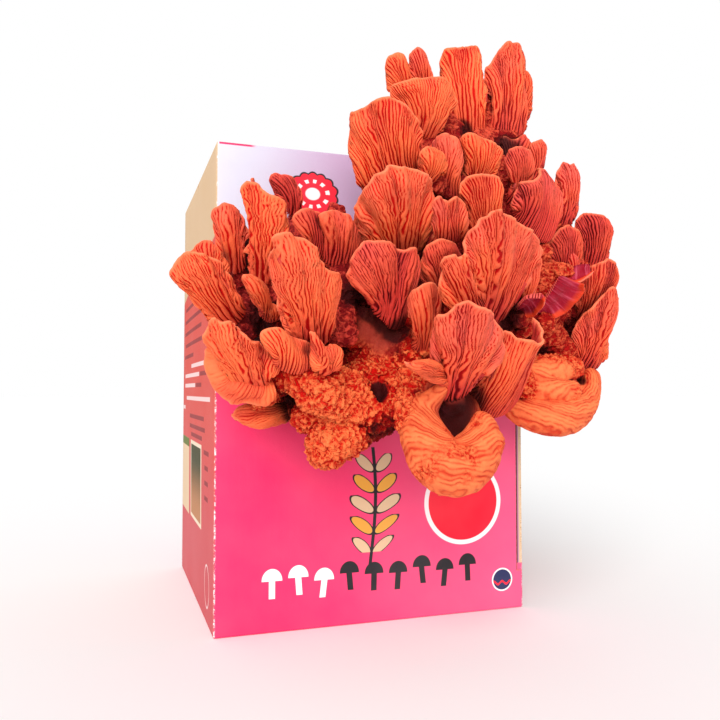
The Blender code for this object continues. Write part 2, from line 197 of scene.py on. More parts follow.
MIDDLE_CAPS = (
    Cap("middle_small_fan", (23, 46, 167), (18, 70, 191), 22, turn=15, neck=0.6, tone=0.2,
        rim=((461, 214), (459, 197), (460, 185), (470, 177), (485, 174), (499, 177), (499, 192), (498, 212)),
        foot=((461, 240), (472, 238), (484, 226), (496, 217))),
    Cap("middle_heart", (8, 52, 163), (3, 68, 182), 13, neck=0.6, ruffle=1.3, tone=0.55, blush=0.6,
        rim=((430, 221), (431, 210), (434, 200), (439, 196), (444, 199), (447, 205), (451, 198), (458, 197),
            (462, 206), (462, 218)),
        foot=((426, 243), (438, 244), (449, 241), (460, 238))),
    Cap("middle_big_fan", (-8, 50, 163), (-25, 82, 187), 33, turn=-10, wrap=90, neck=0.5, ruffle=1.4,
        tone=0.08, blush=0.4,
        rim=((362, 246), (353, 228), (352, 214), (358, 199), (371, 181), (386, 171), (394, 167), (406, 167),
            (420, 171), (430, 180), (433, 197), (431, 213), (424, 228)),
        foot=((373, 246), (388, 252), (404, 253), (420, 248))),
    # Its deep tone is partly painted shade: the fan lies in shadow, darkest on its lower part
    Cap("centre_fan", (-8, 48, 128), (-29, 84, 160), 29, turn=-5, wrap=90, ruffle=1.3, tone=0.85, blush=0.2,
        rim=((370, 296), (352, 291), (347, 281), (349, 267), (353, 255), (362, 247), (374, 242), (389, 241),
            (397, 246), (401, 250), (404, 250), (411, 246), (418, 250), (420, 261), (415, 277), (408, 287)),
        foot=((377, 300), (383, 316), (392, 326), (404, 318))),
    Cap("centre_stub", (-2, 54, 124), (-9, 78, 146), 13, neck=0.7, tone=0.35, blush=0.3,
        rim=((408, 317), (406, 303), (408, 296), (413, 290), (421, 286), (433, 283), (439, 286), (441, 298),
            (439, 312)),
        foot=((412, 342), (418, 352), (425, 352), (431, 336))),
    Cap("centre_red_fan", (5, 50, 146), (0, 70, 164), 18, tone=0.8,
        rim=((420, 278), (421, 260), (425, 249), (436, 241), (446, 239), (457, 243), (461, 249), (464, 262)),
        foot=((425, 288), (436, 294), (450, 288), (460, 274))),
    Cap("ruffled_fan", (29, 54, 134), (14, 88, 172), 33, turn=5, neck=0.5, ruffle=1.15, tone=0.35, blush=0.5,
        rim=((468, 280), (466, 262), (464, 250, 2), (464, 240), (468, 233), (478, 223), (487, 216), (494, 211),
            (501, 209, 3), (507, 213, 1), (512, 219, -1), (521, 224), (531, 229, 1), (539, 236), (542, 245),
            (540, 257), (528, 272), (514, 288)),
        foot=((470, 306), (482, 318), (494, 318), (505, 308))),
    Cap("ruffled_fan_low", (16, 68, 130), (-6, 96, 153), 20, turn=-15, ruffle=1.5, tone=0.25, blush=0.2,
        rim=((446, 304), (440, 291), (438, 278), (438, 268), (443, 261), (450, 257), (458, 255), (462, 257),
            (465, 253), (470, 264), (476, 280)),
        foot=((450, 312), (462, 318), (474, 312), (484, 300))),
)
RIGHT_CAPS = (
    Cap("right_pleat", (50, 36, 189), (46, 50, 211), 11, turn=20, neck=0.6, ruffle=1.2, tone=0.8, blush=0.4,
        rim=((507, 180), (504, 163), (508, 152), (514, 147), (521, 146), (528, 150), (527, 162), (524, 178)),
        foot=((505, 194), (509, 207), (514, 204), (520, 190))),
    Cap("right_point", (63, 28, 201), (64, 38, 220), 8, turn=30, tone=0.6, blush=0.3,
        rim=((527, 162), (529, 146), (535, 141), (543, 138), (546, 142), (541, 152), (536, 166)),
        foot=((522, 180), (527, 186), (533, 180))),
    Cap("right_funnel", (61, 42, 167), (43, 64, 198), 22, turn=10, wrap=160, ruffle=1.2, tone=0.9, blush=0.5,
        rim=((511, 206), (513, 196), (518, 186), (524, 182), (533, 180), (541, 172), (545, 166, -3),
            (551, 172, -6), (556, 183, -8), (560, 198, -8), (557, 212, -8)),
        foot=((512, 212), (522, 228), (534, 240), (543, 242), (551, 228))),
    Cap("right_edge_tall", (82, 28, 180), (81, 38, 212), 14, turn=30, neck=0.5, ruffle=1.8, tone=0.55,
        blush=0.6,
        rim=((556, 200), (555, 178), (560, 166), (565, 160), (572, 163), (577, 162), (580, 169), (577, 183),
            (574, 196), (570, 208)),
        foot=((551, 220), (557, 227), (564, 227), (569, 218))),
    Cap("far_right_inner", (85, 27, 162), (71, 42, 180), 18, neck=0.5, tone=0.95,
        rim=((546, 258), (544, 248), (550, 240), (556, 232), (563, 227), (571, 225), (576, 230), (577, 246),
            (576, 262)),
        foot=((548, 268), (558, 278), (568, 277), (578, 268))),
    Cap("far_right_fan", (101, 24, 163), (90, 44, 187), 23, turn=20, ruffle=1.3, tone=0.85,
        rim=((575, 250), (573, 234), (577, 222), (587, 215), (598, 214), (608, 217), (611, 225), (607, 240),
            (603, 254)),
        foot=((575, 262), (582, 272), (592, 274), (601, 264))),
    Cap("far_right_curl", (84, 32, 143), (89, 58, 163), 26, turn=5, wrap=80, ruffle=0.8, tone=0.45,
        rim=((574, 296), (575, 285), (582, 277, 2), (590, 269, 3), (602, 264, 3), (612, 262, 2), (619, 265),
            (619, 276), (613, 292), (604, 306)),
        foot=((571, 310), (578, 322), (590, 322), (600, 312))),
    Cap("far_right_leaf", (86, 28, 116), (88, 56, 151), 19, turn=20, neck=0.5, ruffle=0.7, tone=0.5,
        blush=0.5,
        rim=((569, 352), (570, 340), (575, 325), (583, 314), (595, 303), (604, 294), (610, 288), (616, 288),
            (619, 295), (613, 308), (607, 317), (606, 333), (603, 349), (596, 358)),
        foot=((571, 356), (578, 366), (588, 367), (597, 360))),
    Cap("magenta_cap", (58, 50, 136), (64, 66, 150), 17, turn=180, bow=2.5, ruffle=1.2, tone=0.6,
        rim=((536, 322), (550, 321), (562, 315), (574, 305), (583, 294), (587, 283)),
        foot=((533, 312), (543, 303), (553, 290), (560, 276))),
    Cap("magenta_small", (42, 56, 136), (43, 74, 143), 10, turn=180, ruffle=0.4, tone=0.6,
        rim=((514, 316), (524, 318), (535, 316), (542, 309), (546, 301)),
        foot=((516, 312), (521, 305), (528, 299), (541, 299))),
    Cap("right_inner_leaf", (48, 46, 133), (46, 66, 162), 15, turn=20, neck=0.5, ruffle=0.8, tone=0.45,
        blush=0.4,
        rim=((510, 290), (513, 272), (518, 261), (525, 256), (532, 254), (539, 255), (537, 266), (530, 281),
            (525, 299)),
        foot=((505, 310), (510, 318), (516, 318), (522, 308))),
    Cap("low_right_fan", (5, 66, 103), (-3, 104, 136), 30, turn=-10, wrap=100, neck=0.5, tone=0.6, blush=0.55,
        rim=((441, 378), (432, 364), (428, 348), (429, 338), (433, 324), (439, 313), (450, 310), (457, 304),
            (467, 302), (477, 304), (487, 308), (495, 315), (500, 325), (504, 334), (503, 346), (496, 356),
            (486, 363), (476, 371)),
        foot=((441, 382), (445, 396), (455, 394), (468, 382))),
    Cap("low_right_funnel", (23, 52, 98), (29, 88, 128), 27, turn=10, wrap=180, neck=0.5, ruffle=1.1,
        tone=0.45, blush=0.3,
        rim=((494, 360), (502, 348), (503, 331), (511, 331), (517, 336), (528, 336), (537, 342), (543, 341),
            (545, 333, -8), (541, 325, -14), (535, 318, -20)),
        foot=((450, 398), (460, 411), (480, 413), (500, 409), (512, 398))),
    Cap("low_right_flap", (-2, 74, 107), (-20, 92, 114), 8, ruffle=0.4, tone=0.2, gills=0.6,
        rim=((441, 387), (428, 382), (417, 376), (410, 370), (410, 362), (418, 358), (428, 357), (438, 354)),
        foot=((445, 385), (447, 374), (445, 362))),
)
LEFT_CAPS = (
    Cap("left_back_funnel", (-70, 30, 140), (-85, 50, 162), 20, turn=-30, tone=0.12,
        rim=((189, 262), (188, 256), (192, 249), (197, 242), (207, 240), (214, 242), (220, 249), (225, 258),
            (231, 267)),
        foot=((203, 266), (216, 274), (230, 276))),
    Cap("left_funnel", (-70, 42, 130), (-94, 70, 153), 28, turn=-20, wrap=110, neck=0.5, ruffle=1.2,
        tone=0.14,
        rim=((212, 316), (203, 308), (194, 301), (182, 286), (171, 273), (173, 266), (180, 259), (188, 254),
            (200, 253), (211, 256), (221, 262), (226, 271), (232, 280), (242, 285)),
        foot=((212, 318), (222, 324), (234, 320), (244, 304))),
    Cap("left_upper_leaf", (-70, 32, 150), (-78, 50, 177), 14, turn=-15, neck=0.5, ruffle=1.3, blush=0.4,
        rim=((216, 240), (212, 222), (214, 210), (220, 204), (226, 203), (236, 205), (243, 211), (247, 220),
            (248, 236)),
        foot=((226, 262), (236, 272), (246, 264))),
    Cap("left_tall_leaf", (-57, 36, 143), (-66, 62, 182), 19, turn=-10, neck=0.6, ruffle=1.3, tone=0.12,
        rim=((246, 252), (244, 226), (242, 198), (243, 184), (250, 181), (260, 185), (267, 193), (276, 196),
            (284, 201), (288, 211), (288, 228), (284, 244)),
        foot=((252, 270), (262, 282), (274, 276))),
    # Its tone of 1 is painted shade: this leaf lies back near the panel, in shadow
    Cap("left_dark_leaf", (-41, 12, 181), (-54, 24, 198), 13, neck=0.6, tone=1.0,
        rim=((275, 196), (267, 182), (270, 175), (276, 172), (284, 173), (292, 177), (296, 185), (299, 198)),
        foot=((286, 208), (293, 214), (300, 209))),
    Cap("centre_left_fan", (-50, 58, 121), (-64, 94, 158), 31, turn=-5, wrap=80, ruffle=1.1, tone=0.28,
        blush=0.25,
        rim=((286, 329), (281, 316), (276, 297), (270, 282), (266, 268), (267, 259), (274, 248), (278, 243),
            (275, 234), (279, 232), (289, 232), (296, 237), (307, 240), (316, 249), (320, 260), (326, 267),
            (332, 271), (339, 273), (341, 285), (339, 305), (334, 322)),
        foot=((289, 333), (300, 342), (315, 343), (329, 332))),
    Cap("purple_fan", (-40, 44, 158), (-50, 62, 175), 15, neck=0.5, tone=0.82,
        rim=((301, 234), (295, 221), (294, 214), (299, 210), (306, 208), (314, 209), (321, 213), (324, 224),
            (325, 238)),
        foot=((303, 236), (312, 250), (322, 256), (330, 248))),
    Cap("purple_ruffle", (-34, 46, 155), (-38, 60, 175), 15, neck=0.6, ruffle=1.8, tone=0.85,
        rim=((322, 232), (321, 216), (327, 211), (335, 210), (344, 214), (353, 220), (359, 228), (359, 240)),
        foot=((322, 254), (332, 264), (346, 262), (356, 252))),
    Cap("left_curl", (-58, 44, 132), (-73, 68, 146), 11, ruffle=0.6, tone=0.2,
        rim=((259, 310), (249, 300), (245, 289), (241, 281), (245, 275), (253, 274), (261, 278), (265, 286),
            (263, 294), (270, 302), (280, 306)),
        foot=((259, 308), (266, 320), (277, 318))),
    Cap("low_left_fan", (-67, 52, 104), (-81, 84, 130), 26, turn=-15, wrap=90, ruffle=1.1, tone=0.16,
        rim=((233, 380), (221, 366), (212, 348), (207, 333), (207, 324), (212, 320), (220, 323), (230, 323),
            (240, 328), (248, 338), (258, 342), (267, 346), (273, 354), (276, 363), (268, 369)),
        foot=((237, 384), (248, 389), (260, 384), (268, 374))),
    Cap("low_left_lip", (-58, 56, 112), (-84, 62, 104), 24, turn=-20, neck=0.5, ruffle=1.3, tone=0.14,
        gills=0.4,
        rim=((274, 396), (266, 403), (258, 405), (246, 404), (236, 407), (222, 399), (212, 387), (208, 372),
            (207, 355), (207, 335)),
        foot=((272, 381), (256, 386), (236, 374), (215, 342))),
    Cap("low_left_bud", (-52, 36, 98), (-74, 54, 96), 11, neck=0.5, ruffle=0.6, tone=0.05, gills=0.5,
        rim=((285, 417), (278, 426), (267, 430), (254, 430), (243, 426), (237, 420), (235, 410), (240, 403),
            (252, 401))),
    Cap("left_edge_cap", (-52, 58, 109), (-64, 80, 127), 20, neck=0.6, ruffle=0.7, tone=0.25,
        rim=((270, 350), (263, 342), (261, 333), (267, 328), (277, 328), (287, 333), (302, 339), (311, 345),
            (313, 356)),
        foot=((273, 354), (284, 364), (298, 366), (312, 360))),
    Cap("left_fold", (-41, 64, 111), (-49, 81, 126), 10, neck=0.6, ruffle=0.7,
        rim=((313, 368), (309, 354), (307, 343), (308, 334), (315, 333), (321, 341), (327, 346), (334, 343),
            (340, 346), (341, 355), (334, 368)),
        foot=((317, 362), (322, 371), (331, 368))),
)
CAPS = UPPER_CAPS + MIDDLE_CAPS + RIGHT_CAPS + LEFT_CAPS

# Small buds that stand behind and between the caps
BUDS = (
    Cap("back_tip", (-58, 24, 172), (-65, 30, 194), 5, neck=0.8, tone=0.6, blush=0.8,
        rim=((248, 192), (249, 181), (252, 176), (255, 181), (257, 194))),
    Cap("inner_bud", (81, 34, 158), (83, 36, 170), 5, neck=0.8, tone=0.4, blush=0.9,
        rim=((565, 269), (564, 258), (568, 252), (574, 252), (578, 258), (578, 269))),
    Cap("magenta_back", (68, 50, 158), (72, 60, 151), 12, turn=180, ruffle=0.4, tone=0.5,
        rim=((556, 290), (568, 286), (580, 280), (593, 270)),
        foot=((557, 281), (565, 271), (577, 265), (590, 264))),
    # dark_hollow is a small cap painted in the deepest red tone as shade, filling a dark hollow between the top
    # caps
    Cap("dark_hollow", (56, 22, 211), (56, 28, 224), 13, neck=0.7, ruffle=1.6, tone=1.0,
        rim=((495, 156), (496, 142), (503, 137), (514, 140), (524, 135), (528, 143), (525, 156))),
)

# Masses that the caps grow from. Each is a few strings of (x, out, up, radius) beads.
MASSES = {
    "crumb_base": (
        ((-4, -8, 122, 21), (-4, 6, 122, 21), (-6, 34, 120, 22)),
        ((-6, 34, 114, 20), (-26, 46, 98, 13), (-37, 54, 90, 10), (-42, 56, 83, 6)),
        ((-34, 54, 103, 11), (-52, 50, 113, 8), (-62, 44, 109, 7)),
        ((-34, 54, 103, 11), (-46, 50, 97, 7)),
        ((-24, 56, 99, 9), (-6, 50, 105, 11)),
        ((-40, 36, 104, 8), (-54, 22, 104, 6), (-62, 20, 107, 5)),
        ((-52, 58, 122, 5), (-52, 60, 113, 6.5), (-46, 62, 105, 7), (-37, 60, 101, 7), (-27, 56, 99, 7)),
        ((-12, 36, 128, 12), (-28, 44, 132, 7)),
        ((-6, 56, 107, 8), (-12, 64, 99, 6.5), (-10, 70, 91, 5)),
    ),
    "upper_stalk": (
        ((0, 34, 145, 16), (8, 34, 165, 15), (20, 30, 192, 14), (40, 20, 218, 10)),
        ((14, 28, 203, 12), (6, 22, 234, 5)),
        ((24, 30, 182, 11), (42, 31, 184, 8), (56, 31, 186, 7), (65, 25, 206, 5)),
        ((24, 30, 196, 10), (46, 28, 206, 7)),
        ((46, 30, 186, 7), (47, 29, 200, 7)),
        ((40, 20, 218, 9), (60, 18, 230, 6)),
        ((24, 24, 216, 9), (28, 20, 227, 6)),
        ((42, 18, 224, 8), (47, 17, 244, 4)),
    ),
    "left_stalk": (
        ((-26, 30, 132, 12), (-52, 30, 132, 11), (-68, 32, 140, 6)),
        ((-50, 30, 136, 10), (-58, 34, 145, 6)),
        ((-44, 22, 140, 9), (-42, 14, 176, 5)),
        ((-52, 22, 140, 11), (-68, 18, 150, 11), (-72, 17, 158, 9), (-64, 16, 167, 6)),
        ((-42, 28, 148, 8), (-24, 30, 149, 9), (-10, 32, 150, 9)),
        ((-40, 28, 150, 7), (-34, 38, 166, 5), (-33, 40, 178, 3.5)),
        ((-35, 42, 160, 4), (-32, 48, 153, 4), (-33, 51, 141, 4.5), (-35, 54, 129, 5.5)),
    ),
    "right_stalk": (
        ((24, 36, 134, 16), (52, 36, 142, 13), (80, 26, 146, 10), (94, 24, 160, 6)),
        ((58, 34, 140, 11), (76, 30, 124, 9), (86, 28, 114, 7)),
        ((70, 28, 150, 9), (78, 26, 176, 6), (79, 24, 195, 4)),
        ((80, 26, 146, 9), (88, 26, 142, 7), (89, 26, 132, 6)),
        ((86, 26, 158, 8), (93, 24, 168, 6)),
        ((50, 34, 150, 10), (60, 38, 164, 6)),
        ((61, 38, 165, 3.5), (62, 44, 157, 4.5), (60, 45, 148, 6)),
    ),
    "right_crumb_lobe": (
        ((24, 42, 110, 9), (49, 44, 110, 8), (63, 42, 114, 8), (77, 40, 116, 6)),
        ((50, 45, 108, 7), (64, 49, 106, 5.5), (71, 50, 106, 4)),
    ),
    "hanging_lobe": (
        ((-2, 56, 107, 7), (-8, 66, 97, 7.5), (-8, 72, 88, 9), (-4, 76, 80, 10.5), (4, 77, 78, 10.5),
         (11, 77, 84, 9), (13, 77, 90, 6.5), (13, 77, 95, 4)),
        ((4, 54, 103, 6), (13, 57, 98, 8), (16, 61, 89, 7)),
    ),
    "right_shell": (
        ((46, 42, 100, 5.5), (52, 46, 97, 7.5), (62, 48, 95, 8.5), (73, 46, 97, 8.5), (83, 42, 104, 6.5),
         (89, 38, 112, 4.5)),
        ((56, 42, 104, 7), (74, 41, 107, 6)),
    ),
}
LIMB_RADIUS = (6, 4.5)  # where a limb leaves its mass, and at the cap
BEAD_STEP = 0.3  # from one bead to the next, as a share of their radius
HEART_RADIUS = (8, 15)  # mm from a mass's heart at which its skin starts and ends being smooth
HEAP_HEIGHT = 2.6  # mm that the heaps of crumbs rise
PIT, PIT_DEPTH = (-22, 64, 107), 7  # the middle of the slot in the front of the crumbs, and its depth

# Places (x, out, up, radius) deep between the mushrooms, where next to no light gets in, painted as shade on
# every skin near them. The light that the colours go by is gone up to a first share of the radius, and back in
# full at a second.
HOLLOW_DARK, HOLLOW_END = 0.45, 1.2
HOLLOWS = (
    (8, 58, 97, 13), (-21, 60, 107, 5), (-64, 38, 132, 13), (52, 26, 218, 10), (-22, 48, 144, 11),
    (38, 54, 137, 11), (79, 28, 176, 9), (63, 38, 126, 6), (80, 43, 110, 5), (73, 46, 108, 4),
    (12, 60, 101, 12), (8, 62, 90, 9), (6, 68, 99, 8), (-14, 56, 132, 9), (-66, 24, 160, 14),
    (9, 46, 179, 7), (-13, 50, 161, 8), (-46, 44, 134, 8), (91, 25, 139, 7), (-31, 50, 132, 8),
    (-12, 52, 122, 6), (-32, 54, 144, 8), (-20, 54, 139, 8), (30, 28, 222, 7), (50, 30, 196, 8),
    (-52, 40, 106, 6),
)


class Skin(NamedTuple):
    """How a mass's skin is textured."""

    voxel: float  # mm
    crumb: float  # share of the skin that is crumbly rather than folded
    height: float  # mm
    heart: tuple  # the smooth place that its folds run round
    # from bright orange to deep red, as for a cap: partly its own colour, partly painted shade on the masses
    # deep in the cluster
    tone: float


SKINS = {
    "crumb_base": Skin(0.57, 1.0, 1.9, (-21, 58, 130), 0.05),
    "upper_stalk": Skin(0.8, 0.75, 1.4, (10, 10, 120), 0.75),
    "left_stalk": Skin(0.8, 0.75, 1.4, (-40, 10, 110), 0.95),
    "right_stalk": Skin(0.7, 0.85, 1.6, (50, 10, 110), 0.45),
    "right_crumb_lobe": Skin(0.6, 0.5, 1.8, (60, 30, 116), 0.1),
    "hanging_lobe": Skin(0.55, 0.43, 1.2, (4, 64, 99), 0.12),
    "right_shell": Skin(0.55, 0.12, 1.1, (68, 38, 116), 0.16),
}


# ---------------------------------------------------------------- what a user would change


class CartonSettings(bpy.types.PropertyGroup):
    bulge: length("Panel bulge", "How far the middle of a panel stands out", 0.8)
    crease: length("Crease radius", "Radius of the carton's folded edges", 1.2)
    flute_pitch: length("Flute pitch", "Distance between the flutes inside the board", 1.15)
    disc_radius: length("Disc radius", "Outer radius of the disc printed on the front", 20.3)
    pink: colour("Pink", "Main ink of the carton", 238, 40, 98)
    pale_pink: colour("Pale pink", "The pink where the light washes it out", 244, 82, 128)
    lavender: colour("Lavender", "Band round the top of the carton", 208, 205, 220)
    cream: colour("Cream", "Band round the top of the side panels", 216, 182, 144)
    salmon: colour("Salmon", "Main ink of the side panels", 216, 80, 68)
    red: colour("Red", "Ink of the printed disc", 245, 16, 48)
    navy: colour("Navy", "Ink of the small roundel", 26, 32, 82)
    gold: colour("Gold", "Ink of the sprig's leaves", 226, 158, 58)
    black: colour("Black", "Outlines and half of the row of shapes", 22, 16, 22)
    paper: colour("Paper", "Bare white liner, where the ink has cracked", 250, 240, 238)
    kraft: colour("Kraft", "Brown board inside the carton", 176, 128, 84)


class MushroomSettings(bpy.types.PropertyGroup):
    gill_pitch: length("Gill pitch", "Distance between neighbouring gills", 1.12)
    gill_height: length("Gill height", "How far a gill stands out of the slit beside it", 1.2)
    across_step: length("Step across", "Size of the mesh across the gills", 0.3)
    along_step: length("Step along", "Size of the mesh along the gills", 0.85)
    rim_thickness: length("Rim thickness", "Thickness of a cap at its rim", 1.3)
    lip: length("Lip", "Width of the smooth lip round each cap", 0.7)
    ripple: length("Ripple", "Depth of the folds and waves of a cap", 2.0)
    scallop: length("Scallop", "How far the rim wanders in and out", 0.45)
    # Over the gills' own orange and red, the pale crests are partly painted highlight and the dark slits partly
    # painted shade. The deep pair is what a deeper tone mixes towards.
    crest: colour("Crest", "Bright gills, along their crests", 255, 118, 68)
    fold: colour("Fold", "Bright gills, in the slits between", 214, 8, 4)
    deep_crest: colour("Deep crest", "Deep red gills, along their crests", 216, 64, 54)
    deep_fold: colour("Deep fold", "Deep red gills, in the slits between", 106, 0, 10)
    rim: colour("Rim", "The thin lip round a cap", 252, 132, 92)
    blush: colour("Blush", "Pink flush towards the rim", 228, 94, 86)
    cap_top: colour("Cap top", "The smooth upper side of a cap", 206, 58, 52)
    cap_streak: colour("Cap streak", "Pale streaks on the upper side", 236, 110, 96)
    bloom_top: colour("Bloom top", "The upper side of a cap that lies face down", 176, 24, 50)
    bloom_streak: colour("Bloom streak", "Pale streaks on it", 218, 84, 108)
    # Painted shade: the colour that every flesh colour falls towards where little light reaches it
    painted_shade: colour("Gloom", "What every colour falls to, deep in the cluster", 44, 2, 3)


class CrumbSettings(bpy.types.PropertyGroup):
    grain: length("Grain", "Size of a crumb", 1.7)
    fold_pitch: length("Fold pitch", "Distance between the folds of a smooth lobe", 1.15)
    smoothing: IntProperty(
        name="Smoothing", description="Passes that melt the beads together", default=12, min=0
    )
    # Over the crumbs' own colours, the pale tops are partly painted highlight and the red gaps partly painted
    # shade. The deep pair, which a deeper tone mixes towards, is partly painted shade on the masses deep in the
    # cluster.
    crest: colour("Crest", "Crumbs, on their tops", 248, 118, 66)
    fold: colour("Fold", "Crumbs, in the gaps between", 198, 8, 2)
    deep_crest: colour("Deep crest", "Crumbs deep in the cluster, on their tops", 204, 56, 48)
    deep_fold: colour("Deep fold", "Crumbs deep in the cluster, in the gaps", 112, 8, 14)


class StageSettings(bpy.types.PropertyGroup):
    floor: colour("Floor", "Plain pale floor", 252, 252, 252)
    sun: FloatProperty(name="Key light", description="Strength of the soft key light", default=1.65)
    sun_size: FloatProperty(
        name="Key size", description="How wide the key light spreads", default=math.radians(32), subtype="ANGLE"
    )
    fill: FloatProperty(name="Fill light", description="Strength of the fill beside the camera", default=1.85)
    sky: FloatProperty(name="Sky", description="Strength of the white surroundings", default=0.66)


# ---------------------------------------------------------------- node trees


class Wire:
    """A value in a node tree, which can be reckoned with as a number can."""

    def __init__(self, graph, socket):
        self.graph, self.socket = graph, socket

    def __add__(self, other):
        return self.graph.math("ADD", self, other)

    def __sub__(self, other):
        return self.graph.math("SUBTRACT", self, other)

    def __rsub__(self, other):
        return self.graph.math("SUBTRACT", other, self)

    def __mul__(self, other):
        return self.graph.math("MULTIPLY", self, other)

    def __truediv__(self, other):
        return self.graph.math("DIVIDE", self, other)

    __radd__, __rmul__ = __add__, __mul__


class Graph:
    """A node tree, with a short call for each kind of node that these finishes use."""

    def __init__(self, tree):
        self.tree = tree

    def node(self, kind, inputs=None, **settings):
        made = self.tree.nodes.new(kind)
        for name, value in settings.items():
            setattr(made, name, value)
        for name, value in (inputs or {}).items():
            self.plug(made.inputs[name], value)
        return made

    def plug(self, socket, value):
        if isinstance(value, Wire):
            self.tree.links.new(value.socket, socket)
        else:
            socket.default_value = value

    def out(self, node, name=0):
        return Wire(self, node.outputs[name])

    def math(self, operation, *values, clamp=False):
        made = self.node("ShaderNodeMath", operation=operation, use_clamp=clamp)
        for socket, value in zip(made.inputs, values):
            self.plug(socket, value)
        return self.out(made)

    def vector(self, operation, *values, result="Vector"):
        made = self.node("ShaderNodeVectorMath", operation=operation)
        for socket, value in zip(made.inputs, values):
            self.plug(socket, value)
        return self.out(made, result)

    def scaled(self, vector, share):
        made = self.node("ShaderNodeVectorMath", {"Scale": share}, operation="SCALE")
        self.plug(made.inputs[0], vector)
        return self.out(made)

    def step(self, value, low, high):
        """0 below low and 1 above high, with a smooth rise between them."""
        inputs = {"Value": value, "From Min": low, "From Max": high}
        return self.out(
            self.node("ShaderNodeMapRange", inputs, interpolation_type="SMOOTHSTEP"), "Result"
        )

    def span(self, value, low, high, blur):
        """1 from low to high and 0 outside, with a smooth rise and fall just inside them."""
        return self.step(value, low, low + blur) * (1 - self.step(value, high - blur, high))

    def mix(self, share, first, second):
        made = self.node("ShaderNodeMix", data_type="RGBA")
        for index, value in ((0, share), (6, first), (7, second)):
            self.plug(made.inputs[index], value)
        return Wire(self, made.outputs[2])

    def noise(self, vector, scale, detail=2.0, result="Fac", **more):
        inputs = {"Vector": vector, "Scale": scale, "Detail": detail}
        made = self.node("ShaderNodeTexNoise", {**inputs, **more})
        return self.out(made, result)

    def cells(self, vector, scale):
        return self.out(self.node("ShaderNodeTexVoronoi", {"Vector": vector, "Scale": scale}), "Distance")

    def streaks(self, share, scale):
        """Noise drawn out along the gills. The map's first axis is decimetres along the rim."""
        uv = self.out(self.node("ShaderNodeTexCoord"), "UV")
        mapped = self.node("ShaderNodeMapping", {"Vector": uv, "Scale": (1.0, share, 1.0)})
        return self.noise(self.out(mapped), scale, 3)

    def grain(self, scale):
        """Fine unevenness of a surface, as a height from 0 to 1."""
        return self.group(shared_group("grain"), Place=self.object_place(), Scale=scale)["Height"]

    def attribute(self, name):
        return self.out(self.node("ShaderNodeAttribute", attribute_name=name), "Fac")

    def object_place(self):
        return self.out(self.node("ShaderNodeTexCoord"), "Object")

    def parts(self, vector):
        made = self.node("ShaderNodeSeparateXYZ", {"Vector": vector})
        return [self.out(made, axis) for axis in "XYZ"]

    def joined(self, x, y, z):
        return self.out(self.node("ShaderNodeCombineXYZ", {"X": x, "Y": y, "Z": z}))

    def group(self, tree, **inputs):
        made = self.node("ShaderNodeGroup", node_tree=tree)
        for name, value in inputs.items():
            self.plug(made.inputs[name.replace("_", " ")], value)
        return {socket.name: Wire(self, socket) for socket in made.outputs if socket.name}

    def finish(self, shader, shade, roughness, relief, depth):
        """Plugs in what every finish has: its colour, its roughness, and a fine relief of the given depth."""
        bump = self.node("ShaderNodeBump", {"Height": relief, "Distance": depth})
        for name, value in (("Base Color", shade), ("Roughness", roughness), ("Normal", self.out(bump))):
            self.plug(shader.inputs[name], value)


def new_group(name, kind, inputs, outputs):
    """A node group, its graph, its inputs as wires, and the node that its outputs go to."""
    tree = bpy.data.node_groups.new(name, kind)
    for label, (socket_type, value) in inputs.items():
        socket = tree.interface.new_socket(name=label, in_out="INPUT", socket_type=socket_type)
        if value is not None:
            socket.default_value = value
    for label, socket_type in outputs.items():
        tree.interface.new_socket(name=label, in_out="OUTPUT", socket_type=socket_type)
    graph = Graph(tree)
    entry, exit_node = graph.node("NodeGroupInput"), graph.node("NodeGroupOutput")
    wires = {label: graph.out(entry, label) for label in inputs}
    return tree, graph, wires, exit_node


NUMBER, COLOUR, VECTOR = "NodeSocketFloat", "NodeSocketColor", "NodeSocketVector"
WHITE = (1.0, 1.0, 1.0, 1.0)


def flesh_group():
    """Mushroom flesh: slits to crests by height, orange to deep red by tone, and painted shade where it is shut
    in from the light.
    """
    colours = ("Crest", "Fold", "Deep Crest", "Deep Fold", "Rim Colour", "Blush Colour", "Gloom")
    inputs = {name: (COLOUR, WHITE) for name in colours}
    inputs |= {name: (NUMBER, 0.0) for name in ("Height", "Tone", "Rim", "Blush")}
    inputs |= {"Shade": (NUMBER, 1.0), "Place": (VECTOR, None)}
    tree, g, wires, end = new_group("flesh", "ShaderNodeTree", inputs, {"Color": COLOUR, "Mask": NUMBER})
    blotch = g.noise(wires["Place"], 70, 3)
    speck = g.noise(wires["Place"], 900, 2)
    height = g.math("ADD", wires["Height"], (blotch - 0.5) * 0.45 + (speck - 0.5) * 0.25, clamp=True)
    tone = g.math("ADD", wires["Tone"], (g.noise(wires["Place"], 45, 2) - 0.5) * 0.5, clamp=True)
    crest = g.step(height, 0.37, 1.0)
    bright = g.mix(crest, wires["Fold"], wires["Crest"])
    deep = g.mix(crest, wires["Deep Fold"], wires["Deep Crest"])
    flesh = g.mix(tone, bright, deep)
    flesh = g.mix(wires["Blush"] * (crest * 0.95 + 0.05), flesh, wires["Blush Colour"])
    flesh = g.mix(wires["Rim"], flesh, wires["Rim Colour"])
    # Painted shade: where little light reaches, the colour falls towards the shade colour, and the lip keeps
    # half of its own
    shut = 1 - g.step(wires["Shade"], 0.05, 0.68)
    flesh = g.mix(shut * (1 - wires["Rim"] * 0.5) * 0.94, flesh, wires["Gloom"])
    g.plug(end.inputs["Color"], flesh)
    g.plug(end.inputs["Mask"], height)
    return tree


